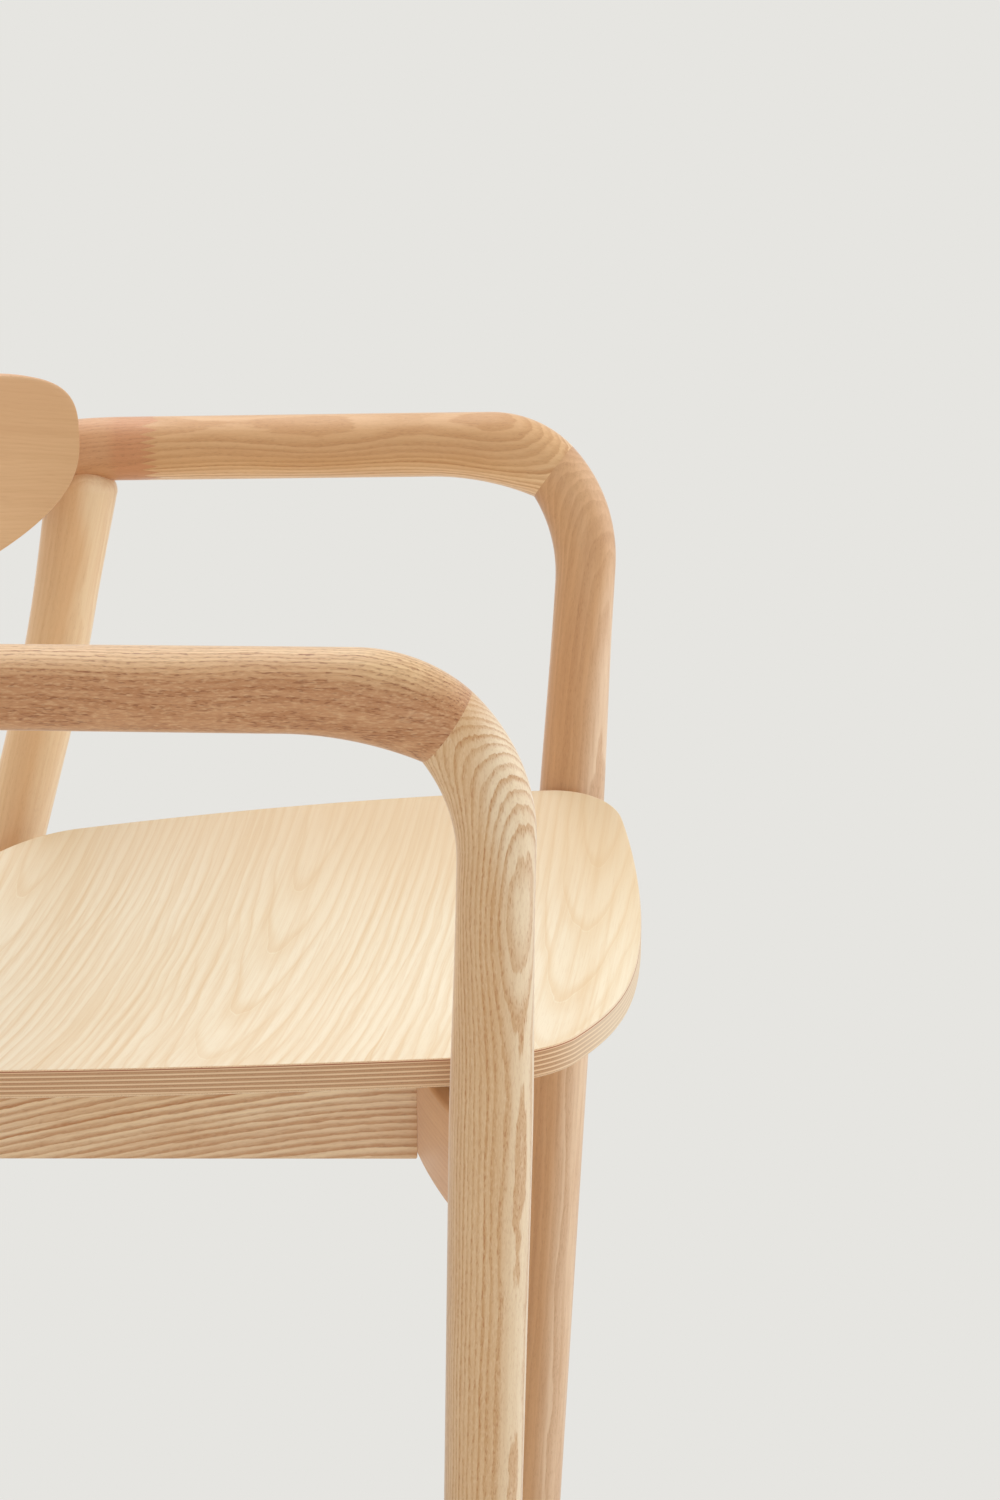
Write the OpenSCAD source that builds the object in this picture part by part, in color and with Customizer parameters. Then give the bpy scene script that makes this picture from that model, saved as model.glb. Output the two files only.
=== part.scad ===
// Wooden armchair: round-section frame with mitred arm corners, moulded plywood seat and back.
// Front faces -Y, +X is the sitter's left, +Z up, origin on the floor under the middle of the box.

/* [Frame] */
// Diameter of the round arm and back rail
tube_d = 37; // [30:0.5:44]
// Height where the axes of an arm and its front leg cross
corner_height = 655; // [600:1:720]
// Half distance between the two crossing points
corner_half = 245; // [244.5:0.5:270]
// How far an arm falls towards the rear, in degrees
arm_fall = 1.8; // [0:0.1:4]
// How far an arm toes in towards the rear, in degrees
arm_toe = 1.5; // [0:0.1:3]
// Outer end of the corner mitre, back along the arm and down along the leg
mitre_outer = [12, 2]; // [0:0.5:14]
// Inner end of the corner mitre, back along the arm and down along the leg
mitre_inner = [32.5, 30.7]; // [28:0.1:36]
// Slope of the inner curve where it meets the mitre, on the arm and on the leg, in degrees
mitre_kink = [22.5, 34]; // [20:0.5:36]

/* [Front legs] */
// Leg diameter just under the corner
leg_neck_d = 34.5; // [31:0.5:40]
// Leg diameter from the seat to the floor
leg_d = 38.5; // [33:0.5:39.5]
// Distance under the crossing point where the full diameter is reached
leg_full_at = 230; // [180:5:240]
// How far the foot stands further in than the corner
leg_in = 114; // [60:0.5:115]
// How far the leg bows inwards from a straight line between corner and foot
leg_bow = 2; // [0:0.1:2.5]
// How far the foot stands further back than the corner
leg_back = 25; // [0:1:50]

/* [Rear legs and back rail] */
// Distance from the crossing point back to where the back rail begins to bend
bend_start = 276; // [268:1:290]
// Radius of the bend at each end of the back rail, on its axis
bend_r = 70; // [64:1:80]
// Radius of the long middle curve of the back rail, on its axis
back_curve_r = 420; // [390:1:460]
// Distance from the finger joint back to where the rail begins to bend
joint_before = 24; // [13:1:40]
// Length of the fingers
finger_len = 10; // [6:0.5:14]
// Number of fingers
finger_count = 9; // [5:1:12]
// Distance from where the rail begins to bend back to the top of a rear leg
rear_leg_past = 20; // [14:1:32]
// Rear leg diameter at its top shoulder
shoulder_d = 42; // [39:0.5:46]
// Radius of the shoulder's rounded rim
shoulder_rim = 12; // [6:0.5:16]
// Rear leg diameter under the shoulder
rear_leg_d = 37.5; // [33:0.5:40]
// Rear leg diameter at the floor
rear_foot_d = 34; // [28:0.5:40]
// How far the shoulder rises past the underside of the rail
shoulder_rise = 8; // [4:0.5:12]
// Length of the flared top of a rear leg
flare_len = 95; // [60:1:110]
// Rearward rake of the top of a rear leg, for each millimetre down
rear_rake_top = 0.17; // [0.1:0.01:0.2]
// Rearward rake of the lower part of a rear leg, for each millimetre down
rear_rake_low = 0.255; // [0.2:0.005:0.32]
// Depth where a rear leg begins to bend
rear_bend_from = 90; // [60:5:130]
// Depth where the bend of a rear leg ends
rear_bend_to = 170; // [160:5:260]
// Inward lean of a rear leg, in degrees
rear_lean = 7.4; // [2:0.1:8]

/* [Seat] */
// Half width of the seat near the front
seat_half_w = 188.2; // [170:0.1:188.5]
// How far the front edge stands in front of the crossing points
seat_front = 45.5; // [35:0.5:60]
// How far the rear edge lies behind the crossing points
seat_rear = 370; // [360:1:376]
// Thickness of the moulded seat
seat_t = 14.8; // [10:0.1:16]
// Thickness of a face veneer
veneer_t = 1; // [0.6:0.1:1.5]
// Depth of the seat's side edge below the crossing points, at the reference line
seat_drop = 200; // [190:1:202]
// Distance back to that reference line
seat_line = 97; // [70:1:140]
// Fall of the seat towards the rear, for each millimetre
seat_slope = 0.092; // [0.064:0.002:0.12]
// Depth of the hollow across the seat
seat_dish = 20; // [8:0.5:24]
// How far the front edge curves down
seat_fall = 8.5; // [2:0.5:12]
// Width of the strip along the front edge that curves down
seat_fall_width = 25; // [15:1:60]
// Radius of the seat's front edge
seat_front_r = 592; // [500:2:800]
// Radius of the seat's side edges
seat_side_r = 1670; // [1300:10:2400]
// Distance back to the widest place of the seat
seat_wide_at = 58; // [44:1:80]
// Radius of the seat's rear edge
seat_rear_r = 420; // [360:10:600]
// Radius of the front corners
seat_corner_r = 49; // [30:1:60]
// Radius of the rear corners
seat_rear_corner_r = 70; // [50:1:90]

/* [Seat rails] */
// Height of the front cross rail at its ends
front_rail_h = 49; // [44:0.5:56]
// Thickness of the front cross rail
front_rail_t = 26; // [20:0.5:30]
// Radius of the rear face of the front cross rail, which bows rearwards
front_rail_r = 420; // [380:5:600]
// How far a side rail's outer face stands in from the seat's widest place
side_rail_inset = 50.5; // [44:0.5:60]
// Thickness of a side rail
side_rail_t = 24; // [18:0.5:28]
// Height of a side rail at its front end
side_rail_h = 48.5; // [42:0.5:54]
// Height of a side rail at its rear end
side_rail_rear_h = 37.5; // [34:0.5:46]
// Height of the rear cross rail in its middle
rear_rail_h = 36; // [34:0.5:46]
// Thickness of the rear cross rail
rear_rail_t = 24; // [18:0.5:28]

/* [Back panel] */
// Radius of the panel's front face
panel_r = 320; // [290:1:360]
// Half length of the panel along its curve
panel_half = 216; // [180:1:222]
// Half height of the panel in the middle
panel_half_h = 58.5; // [50:0.5:72]
// Squareness of the panel's outline, where 2 is an ellipse
panel_square = 2.9; // [2:0.1:3.4]
// Height of the panel's centre over the back rail's axis
panel_lift = 11; // [0:1:16]
// How far the panel's ends sweep up
panel_sweep = 9; // [0:1:14]
// Thickness of the panel
panel_t = 10; // [8:0.5:13]
// Depth of the seating cut into the back rail
panel_seat = 2.7; // [1.5:0.1:4]

/* [Joints and fasteners] */
// Diameter of the dowels in the mitres and the rear legs
dowel_d = 12; // [8:0.5:14]
// Diameter of the rail dowels
rail_dowel_d = 8; // [6:0.5:10]
// Depth of a dowel in each piece
dowel_depth = 18; // [12:1:22]
// Diameter of a screw's shank
screw_d = 5; // [4:0.5:6]
// Diameter of a screw's head
head_d = 9; // [8:0.5:11]
// Height of a screw's head
head_h = 3.5; // [2.5:0.5:5]
// Depth that a screw reaches into the plywood
screw_bite = 7; // [4:0.5:8]
// Distance from the plywood to a screw's head
screw_grip = 22; // [16:1:26]
// Side places of the seat screws in the cross rails
seat_screw_x = 75; // [40:1:110]
// Side places of the inner and outer panel screws
panel_screw_x = [28, 78]; // [20:1:85]
// Diameter of a foot glide
glide_d = 24; // [16:1:28]
// Height of a foot glide under the leg
glide_h = 3; // [2:0.5:5]
// Diameter of a glide's pin
glide_pin_d = 5; // [3:0.5:6]
// Length of a glide's pin
glide_pin_len = 16; // [10:1:20]
// Gap left round dowels, screws and coped ends
clearance = 0.1; // [0.05:0.05:0.3]

/* [Hidden] */

ash = [0.86, 0.72, 0.53];
ash_rail = [0.80, 0.63, 0.46];
ash_face = [0.93, 0.84, 0.67];
ply = [0.88, 0.76, 0.58];
beech = [0.82, 0.66, 0.48];
steel = [0.70, 0.71, 0.72];
nylon = [0.80, 0.79, 0.76];

// Sides of a lofted tube, and roundness of exact rounds
sides = 28;
round_fn = 64;
// Rings along a corner, a leg, a bend of the back rail and half of its middle curve
corner_steps = 8;
leg_steps = 12;
bend_steps = 8;
half_back_steps = 8;
// Steps of half the hollow in the rails' tops
top_steps = 6;
// Reach of a cutting block past what it cuts, and of a leg past its cut foot
past = 60;
overrun = 15;
// Straight run between the corner's curve and the leg's own rings
neck_gap = 6;

tube_r = tube_d / 2;
leg_end = corner_height - glide_h;
joint_at = bend_start - joint_before;
rear_leg_at = bend_start + rear_leg_past;
side_rail_half = seat_half_w - side_rail_inset;

function unit(v) = v / norm(v);
function mix(a, b, t) = a + (b - a) * t;
function smooth(t) = let (u = min(max(t, 0), 1)) u * u * (3 - 2 * u);

// A ring of points round centre c, with half axes u and v
function ring(c, u, v) = [for (i = [0:sides - 1]) let (a = 360 * i / sides)
    c + u * cos(a) + v * sin(a)];

// Solid through a list of rings with as many points each, closed flat at both ends. Past the ring
// numbered turn_at the faces split the other way, so that a layer's two sides are split alike.
module loft(rings, turn_at = undef) {
    n = len(rings[0]);
    m = len(rings);
    points = [for (r = rings) each r];
    walls = [for (j = [0:m - 2], i = [0:n - 1]) let (a = j * n + i, b = j * n + (i + 1) % n)
        each turn_at == undef || j < turn_at ? [[a, a + n, b], [b, a + n, b + n]]
            : [[a, a + n, b + n], [a, b + n, b]]];
    first = [for (i = [1:n - 2]) [0, i, i + 1]];
    last = [for (i = [1:n - 2]) [(m - 1) * n, (m - 1) * n + i + 1, (m - 1) * n + i]];
    polyhedron(points, concat(walls, first, last));
}

// Turns +Z to point along a direction
module point_along(dir) {
    rotate([0, acos(dir[2] / norm(dir)), atan2(dir[1], dir[0])]) children();
}
module both_sides() {
    for (s = [0, 1]) mirror([s, 0, 0]) children();
}

// Left corner: directions of the arm and of the leg's top, and where their axes cross
arm_dir = [-sin(arm_toe), cos(arm_toe) * cos(arm_fall), -cos(arm_toe) * sin(arm_fall)];
leg_dir = leg_way(0);
crossing = [corner_half, 0, 0];
function corner_point(back, down) = crossing + back * arm_dir + down * leg_dir;

// Outer and inner edge of the corner, as distances along a piece and across it. The piece is 0 for the
// arm and 1 for the leg, and t is 0 at the mitre and 1 where the round of radius r runs straight.
function outer_edge(t, r, piece) = let (
    arc = (mitre_outer[1 - piece] + r) / (1 - cos(45)),
    a = 45 * (1 - t))
    [mitre_outer[piece] + arc * (sin(45) - sin(a)), arc * (1 - cos(a)) - r];
function inner_edge(t, r, piece) = let (
    kink = mitre_kink[piece],
    arc = (mitre_inner[1 - piece] - r) / (1 - cos(kink)),
    a = kink * (1 - t))
    [mitre_inner[piece] + arc * (sin(kink) - sin(a)), r + arc * (1 - cos(a))];
function corner_ring(t, r, piece) = let (
    o = outer_edge(t, r, piece),
    i = inner_edge(t, r, piece),
    p = corner_point(o[piece], o[1 - piece]),
    q = corner_point(i[piece], i[1 - piece]),
    side = unit(cross(arm_dir, leg_dir)) * (1 - 2 * piece),
    wide = mix(tube_r, r, smooth(t)))
    ring((p + q) / 2, (q - p) / 2, side * wide);

// The arms and the back rail lie in one plane that falls towards the rear
module in_arm_plane() {
    rotate([-arm_fall, 0, 0]) children();
}
// Places what is built along +Y onto the left arm's axis
module along_arm() {
    in_arm_plane() translate(crossing) rotate([0, 0, arm_toe]) children();
}

// Finger joint: everything behind a zigzag that runs up the tube
module behind_fingers(gap) {
    step = tube_r / finger_count;
    edge = [for (i = [0:2 * finger_count + 1])
        [joint_at + gap + (i % 2) * finger_len, (i - finger_count - 0.5) * step]];
    far = joint_at + 5 * past;
    along_arm() rotate([90, 0, 90]) linear_extrude(2 * tube_d, center = true)
        polygon(concat(edge, [[far, edge[2 * finger_count + 1][1]], [far, edge[0][1]]]));
}

module arm() {
    across = unit(cross(arm_dir, leg_dir));
    down = cross(across, arm_dir);
    straight = [for (a = [joint_at - past, joint_at + finger_len])
        ring(crossing + a * arm_dir, down * tube_r, across * tube_r)];
    difference() {
        loft(concat([for (k = [0:corner_steps]) corner_ring(k / corner_steps, tube_r, 0)], straight));
        behind_fingers(0);
        mitre_pin(clearance);
    }
}

// Dowel square across the middle of the mitre
module mitre_pin(gap) {
    mid = (mitre_outer + mitre_inner) / 2;
    cut = mitre_inner - mitre_outer;
    translate(corner_point(mid[0], mid[1])) point_along(cut[1] * arm_dir - cut[0] * leg_dir)
        cylinder(d = dowel_d + 2 * gap, h = 2 * (dowel_depth + gap), center = true, $fn = round_fn);
}

// Front leg: axis, direction and radius at depth s under the crossing point
function leg_axis(s) = [corner_half - (leg_in + 4 * leg_bow * (1 - s / leg_end)) * s / leg_end,
    leg_back * s / leg_end, -s];
function leg_way(s) = unit([-(leg_in + 4 * leg_bow * (1 - 2 * s / leg_end)) / leg_end,
    leg_back / leg_end, -1]);
function leg_r(s) = mix(leg_neck_d, leg_d, smooth((s - leg_neck_at) / (leg_full_at - leg_neck_at))) / 2;
function leg_ring(s) = let (t = leg_way(s), u = unit(arm_dir - (arm_dir * t) * t))
    ring(leg_axis(s), u * leg_r(s), cross(t, u) * leg_r(s));
// Depth under which the neck is a plain round
leg_neck_at = inner_edge(1, leg_neck_d / 2, 1)[0] + neck_gap;

module front_leg() {
    difference() {
        loft(concat([for (k = [0:corner_steps]) corner_ring(k / corner_steps, leg_neck_d / 2, 1)],
            [for (k = [0:leg_steps]) leg_ring(mix(leg_neck_at, leg_end + overrun, k / leg_steps))]));
        mitre_pin(clearance);
        under_floor_line();
        front_rail_pins(clearance);
        translate(leg_axis(leg_end)) glide_pin(clearance);
    }
}
module under_floor_line() {
    translate([0, 0, -leg_end - past]) cube([20 * past, 20 * past, 2 * past], center = true);
}

// Back rail in the plane of the arms: centre of the bend and of the long middle curve
bend_c = [corner_half - bend_start * sin(arm_toe) - bend_r * cos(arm_toe),
    bend_start * cos(arm_toe) - bend_r * sin(arm_toe)];
mid_c = [0, bend_c[1] - sqrt(pow(back_curve_r - bend_r, 2) - pow(bend_c[0], 2))];
bend_turn = atan2(bend_c[1] - mid_c[1], bend_c[0]);
rail_back = mid_c[1] + back_curve_r;

// Stations along its axis, each a place and the angle that the outside of the curve faces
function station(c, r, a) = [c + r * [cos(a), sin(a)], a];
left_stations = concat([[bend_c + bend_r * [cos(arm_toe), sin(arm_toe)]
    - (bend_start - joint_at) * [-sin(arm_toe), cos(arm_toe)], arm_toe]],
    [for (k = [0:bend_steps]) station(bend_c, bend_r, mix(arm_toe, bend_turn, k / bend_steps))],
    [for (k = [1:half_back_steps]) station(mid_c, back_curve_r, mix(bend_turn, 90, k / half_back_steps))]);
right_stations = [for (i = [len(left_stations) - 2:-1:0]) let (s = left_stations[i])
    [[-s[0][0], s[0][1]], 180 - s[1]]];
module rail_round(gap) {
    in_arm_plane() loft([for (s = concat(left_stations, right_stations))
        ring([s[0][0], s[0][1], 0], (tube_r + gap) * [cos(s[1]), sin(s[1]), 0], [0, 0, -tube_r - gap])]);
}

module back_rail() {
    difference() {
        rail_round(0);
        both_sides() difference() {
            along_arm() translate([0, joint_at, 0])
                cube([2 * tube_d, 2.5 * finger_len, 2 * tube_d], center = true);
            behind_fingers(clearance);
        }
        panel_frame()
            cylinder(r = panel_r + panel_t + clearance, h = 4 * past, center = true, $fn = 4 * round_fn);
        both_sides() shoulder_pin(clearance);
        panel_screw_frames() screw(clearance, past);
    }
}

// Rear leg: axis and radius at depth s under the rail's axis, before it leans inwards
function rear_back(s) = rear_rake_top * s + (rear_rake_low - rear_rake_top)
    * (pow(min(max(s - rear_bend_from, 0), rear_bend_to - rear_bend_from), 2) / 2
        / (rear_bend_to - rear_bend_from) + max(s - rear_bend_to, 0));
function rear_rake(s) = mix(rear_rake_top, rear_rake_low,
    min(max((s - rear_bend_from) / (rear_bend_to - rear_bend_from), 0), 1));
function rear_r(s) = s > flare_len
    ? mix(rear_leg_d, rear_foot_d, (s - flare_len) / (rear_len - flare_len)) / 2
    : mix(shoulder_d, rear_leg_d, smooth(s / flare_len)) / 2;
rear_top = [corner_half - rear_leg_at * sin(arm_toe) - bend_r
    + sqrt(pow(bend_r, 2) - pow(rear_leg_at - bend_start, 2)), rear_leg_at, -rear_leg_at * tan(arm_fall)];
rear_len = (leg_end + rear_top[2]) / cos(rear_lean);
function rear_axis(s) = rear_top + [-s * sin(rear_lean), rear_back(s), -s * cos(rear_lean)];
function rear_way(s) = unit([-sin(rear_lean), rear_rake(s), -cos(rear_lean)]);
function rear_ring(s, r) = let (t = rear_way(s), u = unit([0, 1, 0] - t[1] * t))
    ring(rear_axis(s), u * r, cross(t, u) * r);

module rear_leg() {
    top = tube_r - shoulder_rise;
    rim = [for (a = [0, 22.5, 45, 67.5]) rear_ring(top + shoulder_rim * (1 - cos(a)),
        rear_r(top) - shoulder_rim * (1 - sin(a)))];
    flare = [for (k = [0:6])
        let (s = mix(top + shoulder_rim, flare_len, k / 6)) rear_ring(s, rear_r(s))];
    low = [for (k = [1:leg_steps])
        let (s = mix(flare_len, rear_len + overrun, k / leg_steps)) rear_ring(s, rear_r(s))];
    difference() {
        loft(concat(rim, flare, low));
        under_floor_line();
        rail_round(clearance);
        shoulder_pin(clearance);
        rear_rail_pins(clearance);
        translate(rear_axis(rear_len)) glide_pin(clearance);
    }
}

// Dowel from the back rail down into a rear leg
module shoulder_pin(gap) {
    translate(rear_axis(tube_r)) point_along(-rear_way(tube_r))
        cylinder(d = dowel_d + 2 * gap, h = 2 * (dowel_depth + gap), center = true, $fn = round_fn);
}

// Seat surface: depth of its upper face at a place
function seat_z(x, y) = -seat_drop + seat_slope * (seat_line - y) - seat_dish * (1 - pow(x / seat_half_w, 2))
    - seat_fall * pow(max(seat_fall_width - seat_front - y, 0) / seat_fall_width, 2);

// Seat outline: a front, a side and a rear arc, joined by corner arcs that touch both
front_c = [0, seat_front_r - seat_front];
side_c = [seat_half_w - seat_side_r, seat_wide_at];
rear_c = [0, seat_rear - seat_rear_r];
function meet(c1, r1, c2, r2, turn) = let (d = norm(c2 - c1), a = (d * d + r1 * r1 - r2 * r2) / (2 * d),
    h = turn * sqrt(r1 * r1 - a * a), e = (c2 - c1) / d)
    c1 + a * e + h * [-e[1], e[0]];
function way(v) = atan2(v[1], v[0]);
function arc(c, r, from, to, n) = [for (i = [0:n - 1])
    let (a = mix(from, to, i / n)) c + r * [cos(a), sin(a)]];
corner_c = meet(side_c, seat_side_r - seat_corner_r, front_c, seat_front_r - seat_corner_r, -1);
heel_c = meet(side_c, seat_side_r - seat_rear_corner_r, rear_c, seat_rear_r - seat_rear_corner_r, 1);
half_outline = concat(
    arc(front_c, seat_front_r, -90, way(corner_c - front_c), 6),
    arc(corner_c, seat_corner_r, way(corner_c - front_c), way(corner_c - side_c), 8),
    arc(side_c, seat_side_r, way(corner_c - side_c), way(heel_c - side_c), 7),
    arc(heel_c, seat_rear_corner_r, way(heel_c - side_c), way(heel_c - rear_c), 7),
    arc(rear_c, seat_rear_r, way(heel_c - rear_c), 90, 6));
outline = concat(half_outline, [[0, seat_rear]],
    [for (i = [len(half_outline) - 1:-1:1]) [-half_outline[i][0], half_outline[i][1]]]);

// Shares of the outline at which the hollow surface has a ring of points
seat_rings = [0.02, 0.36, 0.7, 0.88, 1];
// One layer of the seat, from one depth under the upper face to another
module seat_layer(from, to) {
    middle = [0, (seat_rear - seat_front) / 2];
    function face(f, d) = [for (i = [len(outline) - 1:-1:0]) let (p = mix(middle, outline[i], f))
        [p[0], p[1], seat_z(p[0], p[1]) - d]];
    difference() {
        loft(concat([for (f = seat_rings) face(f, from)],
            [for (i = [len(seat_rings) - 1:-1:0]) face(seat_rings[i], to)]), len(seat_rings));
        if (to > veneer_t) seat_screw_frames() screw(clearance, 0);
    }
}

// Height of the rails' tops, just under the seat: hollowed between the side rails and level past them
side_rail_x = side_rail_half - side_rail_t / 2;
function rail_top(x, y) = seat_z(min(abs(x), side_rail_x), y) - seat_t - clearance;
module over_rails() {
    wide = 2 * corner_half;
    hollow = [for (k = [top_steps:-1:-top_steps]) side_rail_x * k / top_steps];
    loft([for (y = [seat_fall_width - seat_front, 2 * seat_rear]) concat([[-wide, y, 0], [wide, y, 0]],
        [for (x = concat([wide], hollow, [-wide])) [x, y, rail_top(x, y)]])]);
}

// Front cross rail: one arc in plan, whose middle line runs into the axes of the legs
front_rail_s = front_rail_h / 2 - rail_top(side_rail_x, leg_d);
front_end = leg_axis(front_rail_s);
front_rail_mid_r = front_rail_r - front_rail_t / 2;
front_rail_c = front_end[1] - sqrt(pow(front_rail_mid_r, 2) - pow(front_end[0], 2));
function rail_arc(x, r) = front_rail_c + sqrt(r * r - x * x);
module rail_drum(r) {
    translate([0, front_rail_c, -front_rail_s])
        cylinder(r = r, h = 4 * past, center = true, $fn = 4 * round_fn);
}
module front_cross_rail() {
    difference() {
        intersection() {
            rail_drum(front_rail_r);
            translate([-front_end[0], 0, -front_rail_s - front_rail_h / 2])
                cube([2 * front_end[0], front_rail_r, 2 * front_rail_h]);
        }
        rail_drum(front_rail_r - front_rail_t);
        over_rails();
        both_sides() {
            translate(front_end) point_along(leg_way(front_rail_s))
                cylinder(d = leg_d + 2 * clearance, h = 3 * past, center = true, $fn = round_fn);
            front_rail_pins(clearance);
            side_rail_pins(clearance);
        }
        seat_screw_frames() screw(clearance, past);
    }
}
module rail_dowel(gap) {
    cylinder(d = rail_dowel_d + 2 * gap, h = 2 * (dowel_depth + gap), center = true, $fn = round_fn);
}
// The dowels of its ends run along the arc where it meets the leg
module front_rail_pins(gap) {
    for (z = [-1, 1]) translate([front_end[0], front_end[1], -front_rail_s + z * front_rail_h / 4])
        rotate([0, -90, -asin((front_end[0] - leg_d / 2) / front_rail_mid_r)])
            translate([0, 0, leg_d / 2]) rail_dowel(gap);
}

// Rear cross rail, centred on the axes of the rear legs
rear_rail_depth = (rear_top[2] + rear_rail_h / 2 + seat_t - seat_z(0, seat_rear)) / cos(rear_lean);
rear_end = rear_axis(rear_rail_depth);
rear_rail_y = rear_end[1];
rear_rail_low = rail_top(0, rear_rail_y + rear_rail_t / 2) - rear_rail_h;
module rear_cross_rail() {
    difference() {
        translate([-rear_end[0], rear_rail_y - rear_rail_t / 2, rear_rail_low])
            cube([2 * rear_end[0], rear_rail_t, 2 * rear_rail_h]);
        over_rails();
        both_sides() {
            translate(rear_end) point_along(rear_way(rear_rail_depth))
                cylinder(r = rear_r(rear_rail_depth) + clearance, h = 3 * past, center = true,
                    $fn = round_fn);
            rear_rail_pins(clearance);
            side_rail_pins(clearance);
        }
        seat_screw_frames() screw(clearance, past);
    }
}
module rear_rail_pins(gap) {
    for (z = [-1, 1]) translate([rear_end[0] - rear_r(rear_rail_depth), rear_rail_y,
        rear_rail_low + rear_rail_h / 2 + z * rear_rail_h / 4])
        rotate([0, 90, 0])
            rail_dowel(gap);
}

// Side rail, from the arc of the front cross rail to the rear cross rail
side_from = rail_arc(side_rail_half, front_rail_r);
side_to = rear_rail_y - rear_rail_t / 2 - clearance;
function side_low(y) = rail_top(side_rail_half - side_rail_t, y)
    - mix(side_rail_h, side_rail_rear_h, (y - side_from) / (side_to - side_from));
module side_rail() {
    difference() {
        translate([side_rail_x, 0, 0]) rotate([90, 0, 90]) linear_extrude(side_rail_t, center = true)
            polygon([[side_from, -past], [side_to, -past], [side_to, side_low(side_to)],
                [side_from, side_low(side_from)]]);
        over_rails();
        rail_drum(front_rail_r + clearance);
        side_rail_pins(clearance);
        seat_screw_frames() screw(clearance, past);
    }
}
module side_rail_pins(gap) {
    ends = [[rail_arc(side_rail_x, front_rail_r), side_rail_h], [side_to, side_rail_rear_h]];
    for (end = ends, z = [0.3, 0.7]) translate([side_rail_x, end[0], side_low(end[0]) + z * end[1]])
        rotate([90, 0, 0]) rail_dowel(gap);
}

// Seat screws: frames at the seat's underside, pointing down
seat_screw_places = concat(
    [for (x = [-1, 1]) [x * seat_screw_x, rail_arc(seat_screw_x, front_rail_mid_r)]],
    [for (x = [-1, 1]) [x * seat_screw_x, rear_rail_y]],
    [for (x = [-1, 1]) [x * side_rail_x, mix(side_from, side_to, 0.5)]]);
module seat_screw_frames() {
    for (p = seat_screw_places)
        translate([p[0], p[1], seat_z(p[0], p[1]) - seat_t]) mirror([0, 0, 1]) children();
}
// A screw from inside the plywood to its head, with the counterbore behind it when it cuts
module screw(gap, bore) {
    translate([0, 0, -screw_bite])
        cylinder(d = screw_d + 2 * gap, h = screw_bite + screw_grip, $fn = round_fn);
    translate([0, 0, screw_grip - gap])
        cylinder(d = head_d + 2 * gap, h = head_h + gap + bore, $fn = round_fn);
}

// Back panel: frame at the centre of its curve, at the height of the panel's middle
panel_y = rail_back - tube_r + panel_seat - panel_t - panel_r;
panel_z = panel_lift - rail_back * tan(arm_fall);
module panel_frame() {
    translate([0, panel_y, panel_z]) children();
}
panel_turn = panel_half / panel_r * 180 / PI;
function panel_edge(f, up) =
    let (h = panel_half_h * pow(max(1 - pow(abs(f), panel_square), 0), 1 / panel_square))
    [panel_r * sin(f * panel_turn), panel_sweep * pow(f, 4) + up * h];
panel_points = 26;
module panel_layer(from, to) {
    top = [for (k = [0:panel_points]) panel_edge(cos(180 * k / panel_points), 1)];
    bottom = [for (k = [panel_points - 1:-1:1]) panel_edge(cos(180 * k / panel_points), -1)];
    panel_frame() difference() {
        intersection() {
            rotate([90, 0, 180]) linear_extrude(2 * panel_r) polygon(concat(top, bottom));
            cylinder(r = panel_r + to, h = 4 * past, center = true, $fn = 4 * round_fn);
        }
        cylinder(r = panel_r + from, h = 5 * past, center = true, $fn = 4 * round_fn);
        if (to > veneer_t) translate([0, -panel_y, -panel_z]) panel_screw_frames() screw(clearance, 0);
    }
}

// Panel screws: frames on the panel's rear face, pointing out of it
module panel_screw_frames() {
    panel_frame() for (s = [-1, 1], x = panel_screw_x)
        translate([0, 0, -panel_lift]) rotate([0, 0, 90 - s * asin(x / panel_r)])
            translate([panel_r + panel_t, 0, 0]) rotate([0, 90, 0]) children();
}
module panel_plugs() {
    intersection() {
        panel_screw_frames() translate([0, 0, screw_grip + head_h + clearance])
            cylinder(d = head_d, h = past, $fn = round_fn);
        rail_round(0);
    }
}

// Glide pin at the middle of a foot, straight up
module glide_pin(gap) {
    cylinder(d = glide_pin_d + 2 * gap, h = glide_pin_len + gap, $fn = round_fn);
}
module foot_glide() {
    translate([0, 0, -glide_h]) cylinder(d = glide_d, h = glide_h, $fn = round_fn);
    glide_pin(0);
}

// Overall depth from the seat's front edge to the rear foot, which places the origin
foot_back = rear_axis(rear_len)[1] + rear_foot_d / 2 * sqrt(1 + pow(rear_rake_low, 2));
frame_y = (seat_front - foot_back) / 2;
module place() {
    translate([0, frame_y, corner_height]) children();
}

color(ash) place() arm();  // left_arm
color(ash) place() mirror([1, 0, 0]) arm();  // right_arm
color(ash) place() front_leg();  // left_front_leg
color(ash) place() mirror([1, 0, 0]) front_leg();  // right_front_leg
color(ash_rail) place() back_rail();
color(ash) place() rear_leg();  // left_rear_leg
color(ash) place() mirror([1, 0, 0]) rear_leg();  // right_rear_leg
color(ash_rail) place() front_cross_rail();
color(ash_rail) place() rear_cross_rail();
color(ash) place() side_rail();  // left_side_rail
color(ash) place() mirror([1, 0, 0]) side_rail();  // right_side_rail
color(ash_face) place() seat_layer(0, veneer_t);  // seat_top_veneer
color(ply) place() seat_layer(veneer_t, seat_t - veneer_t);  // seat_core
color(ash_face) place() seat_layer(seat_t - veneer_t, seat_t);  // seat_bottom_veneer
color(ash_face) place() panel_layer(0, veneer_t);  // panel_front_veneer
color(ply) place() panel_layer(veneer_t, panel_t - veneer_t);  // panel_core
color(ash_face) place() panel_layer(panel_t - veneer_t, panel_t);  // panel_rear_veneer
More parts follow.
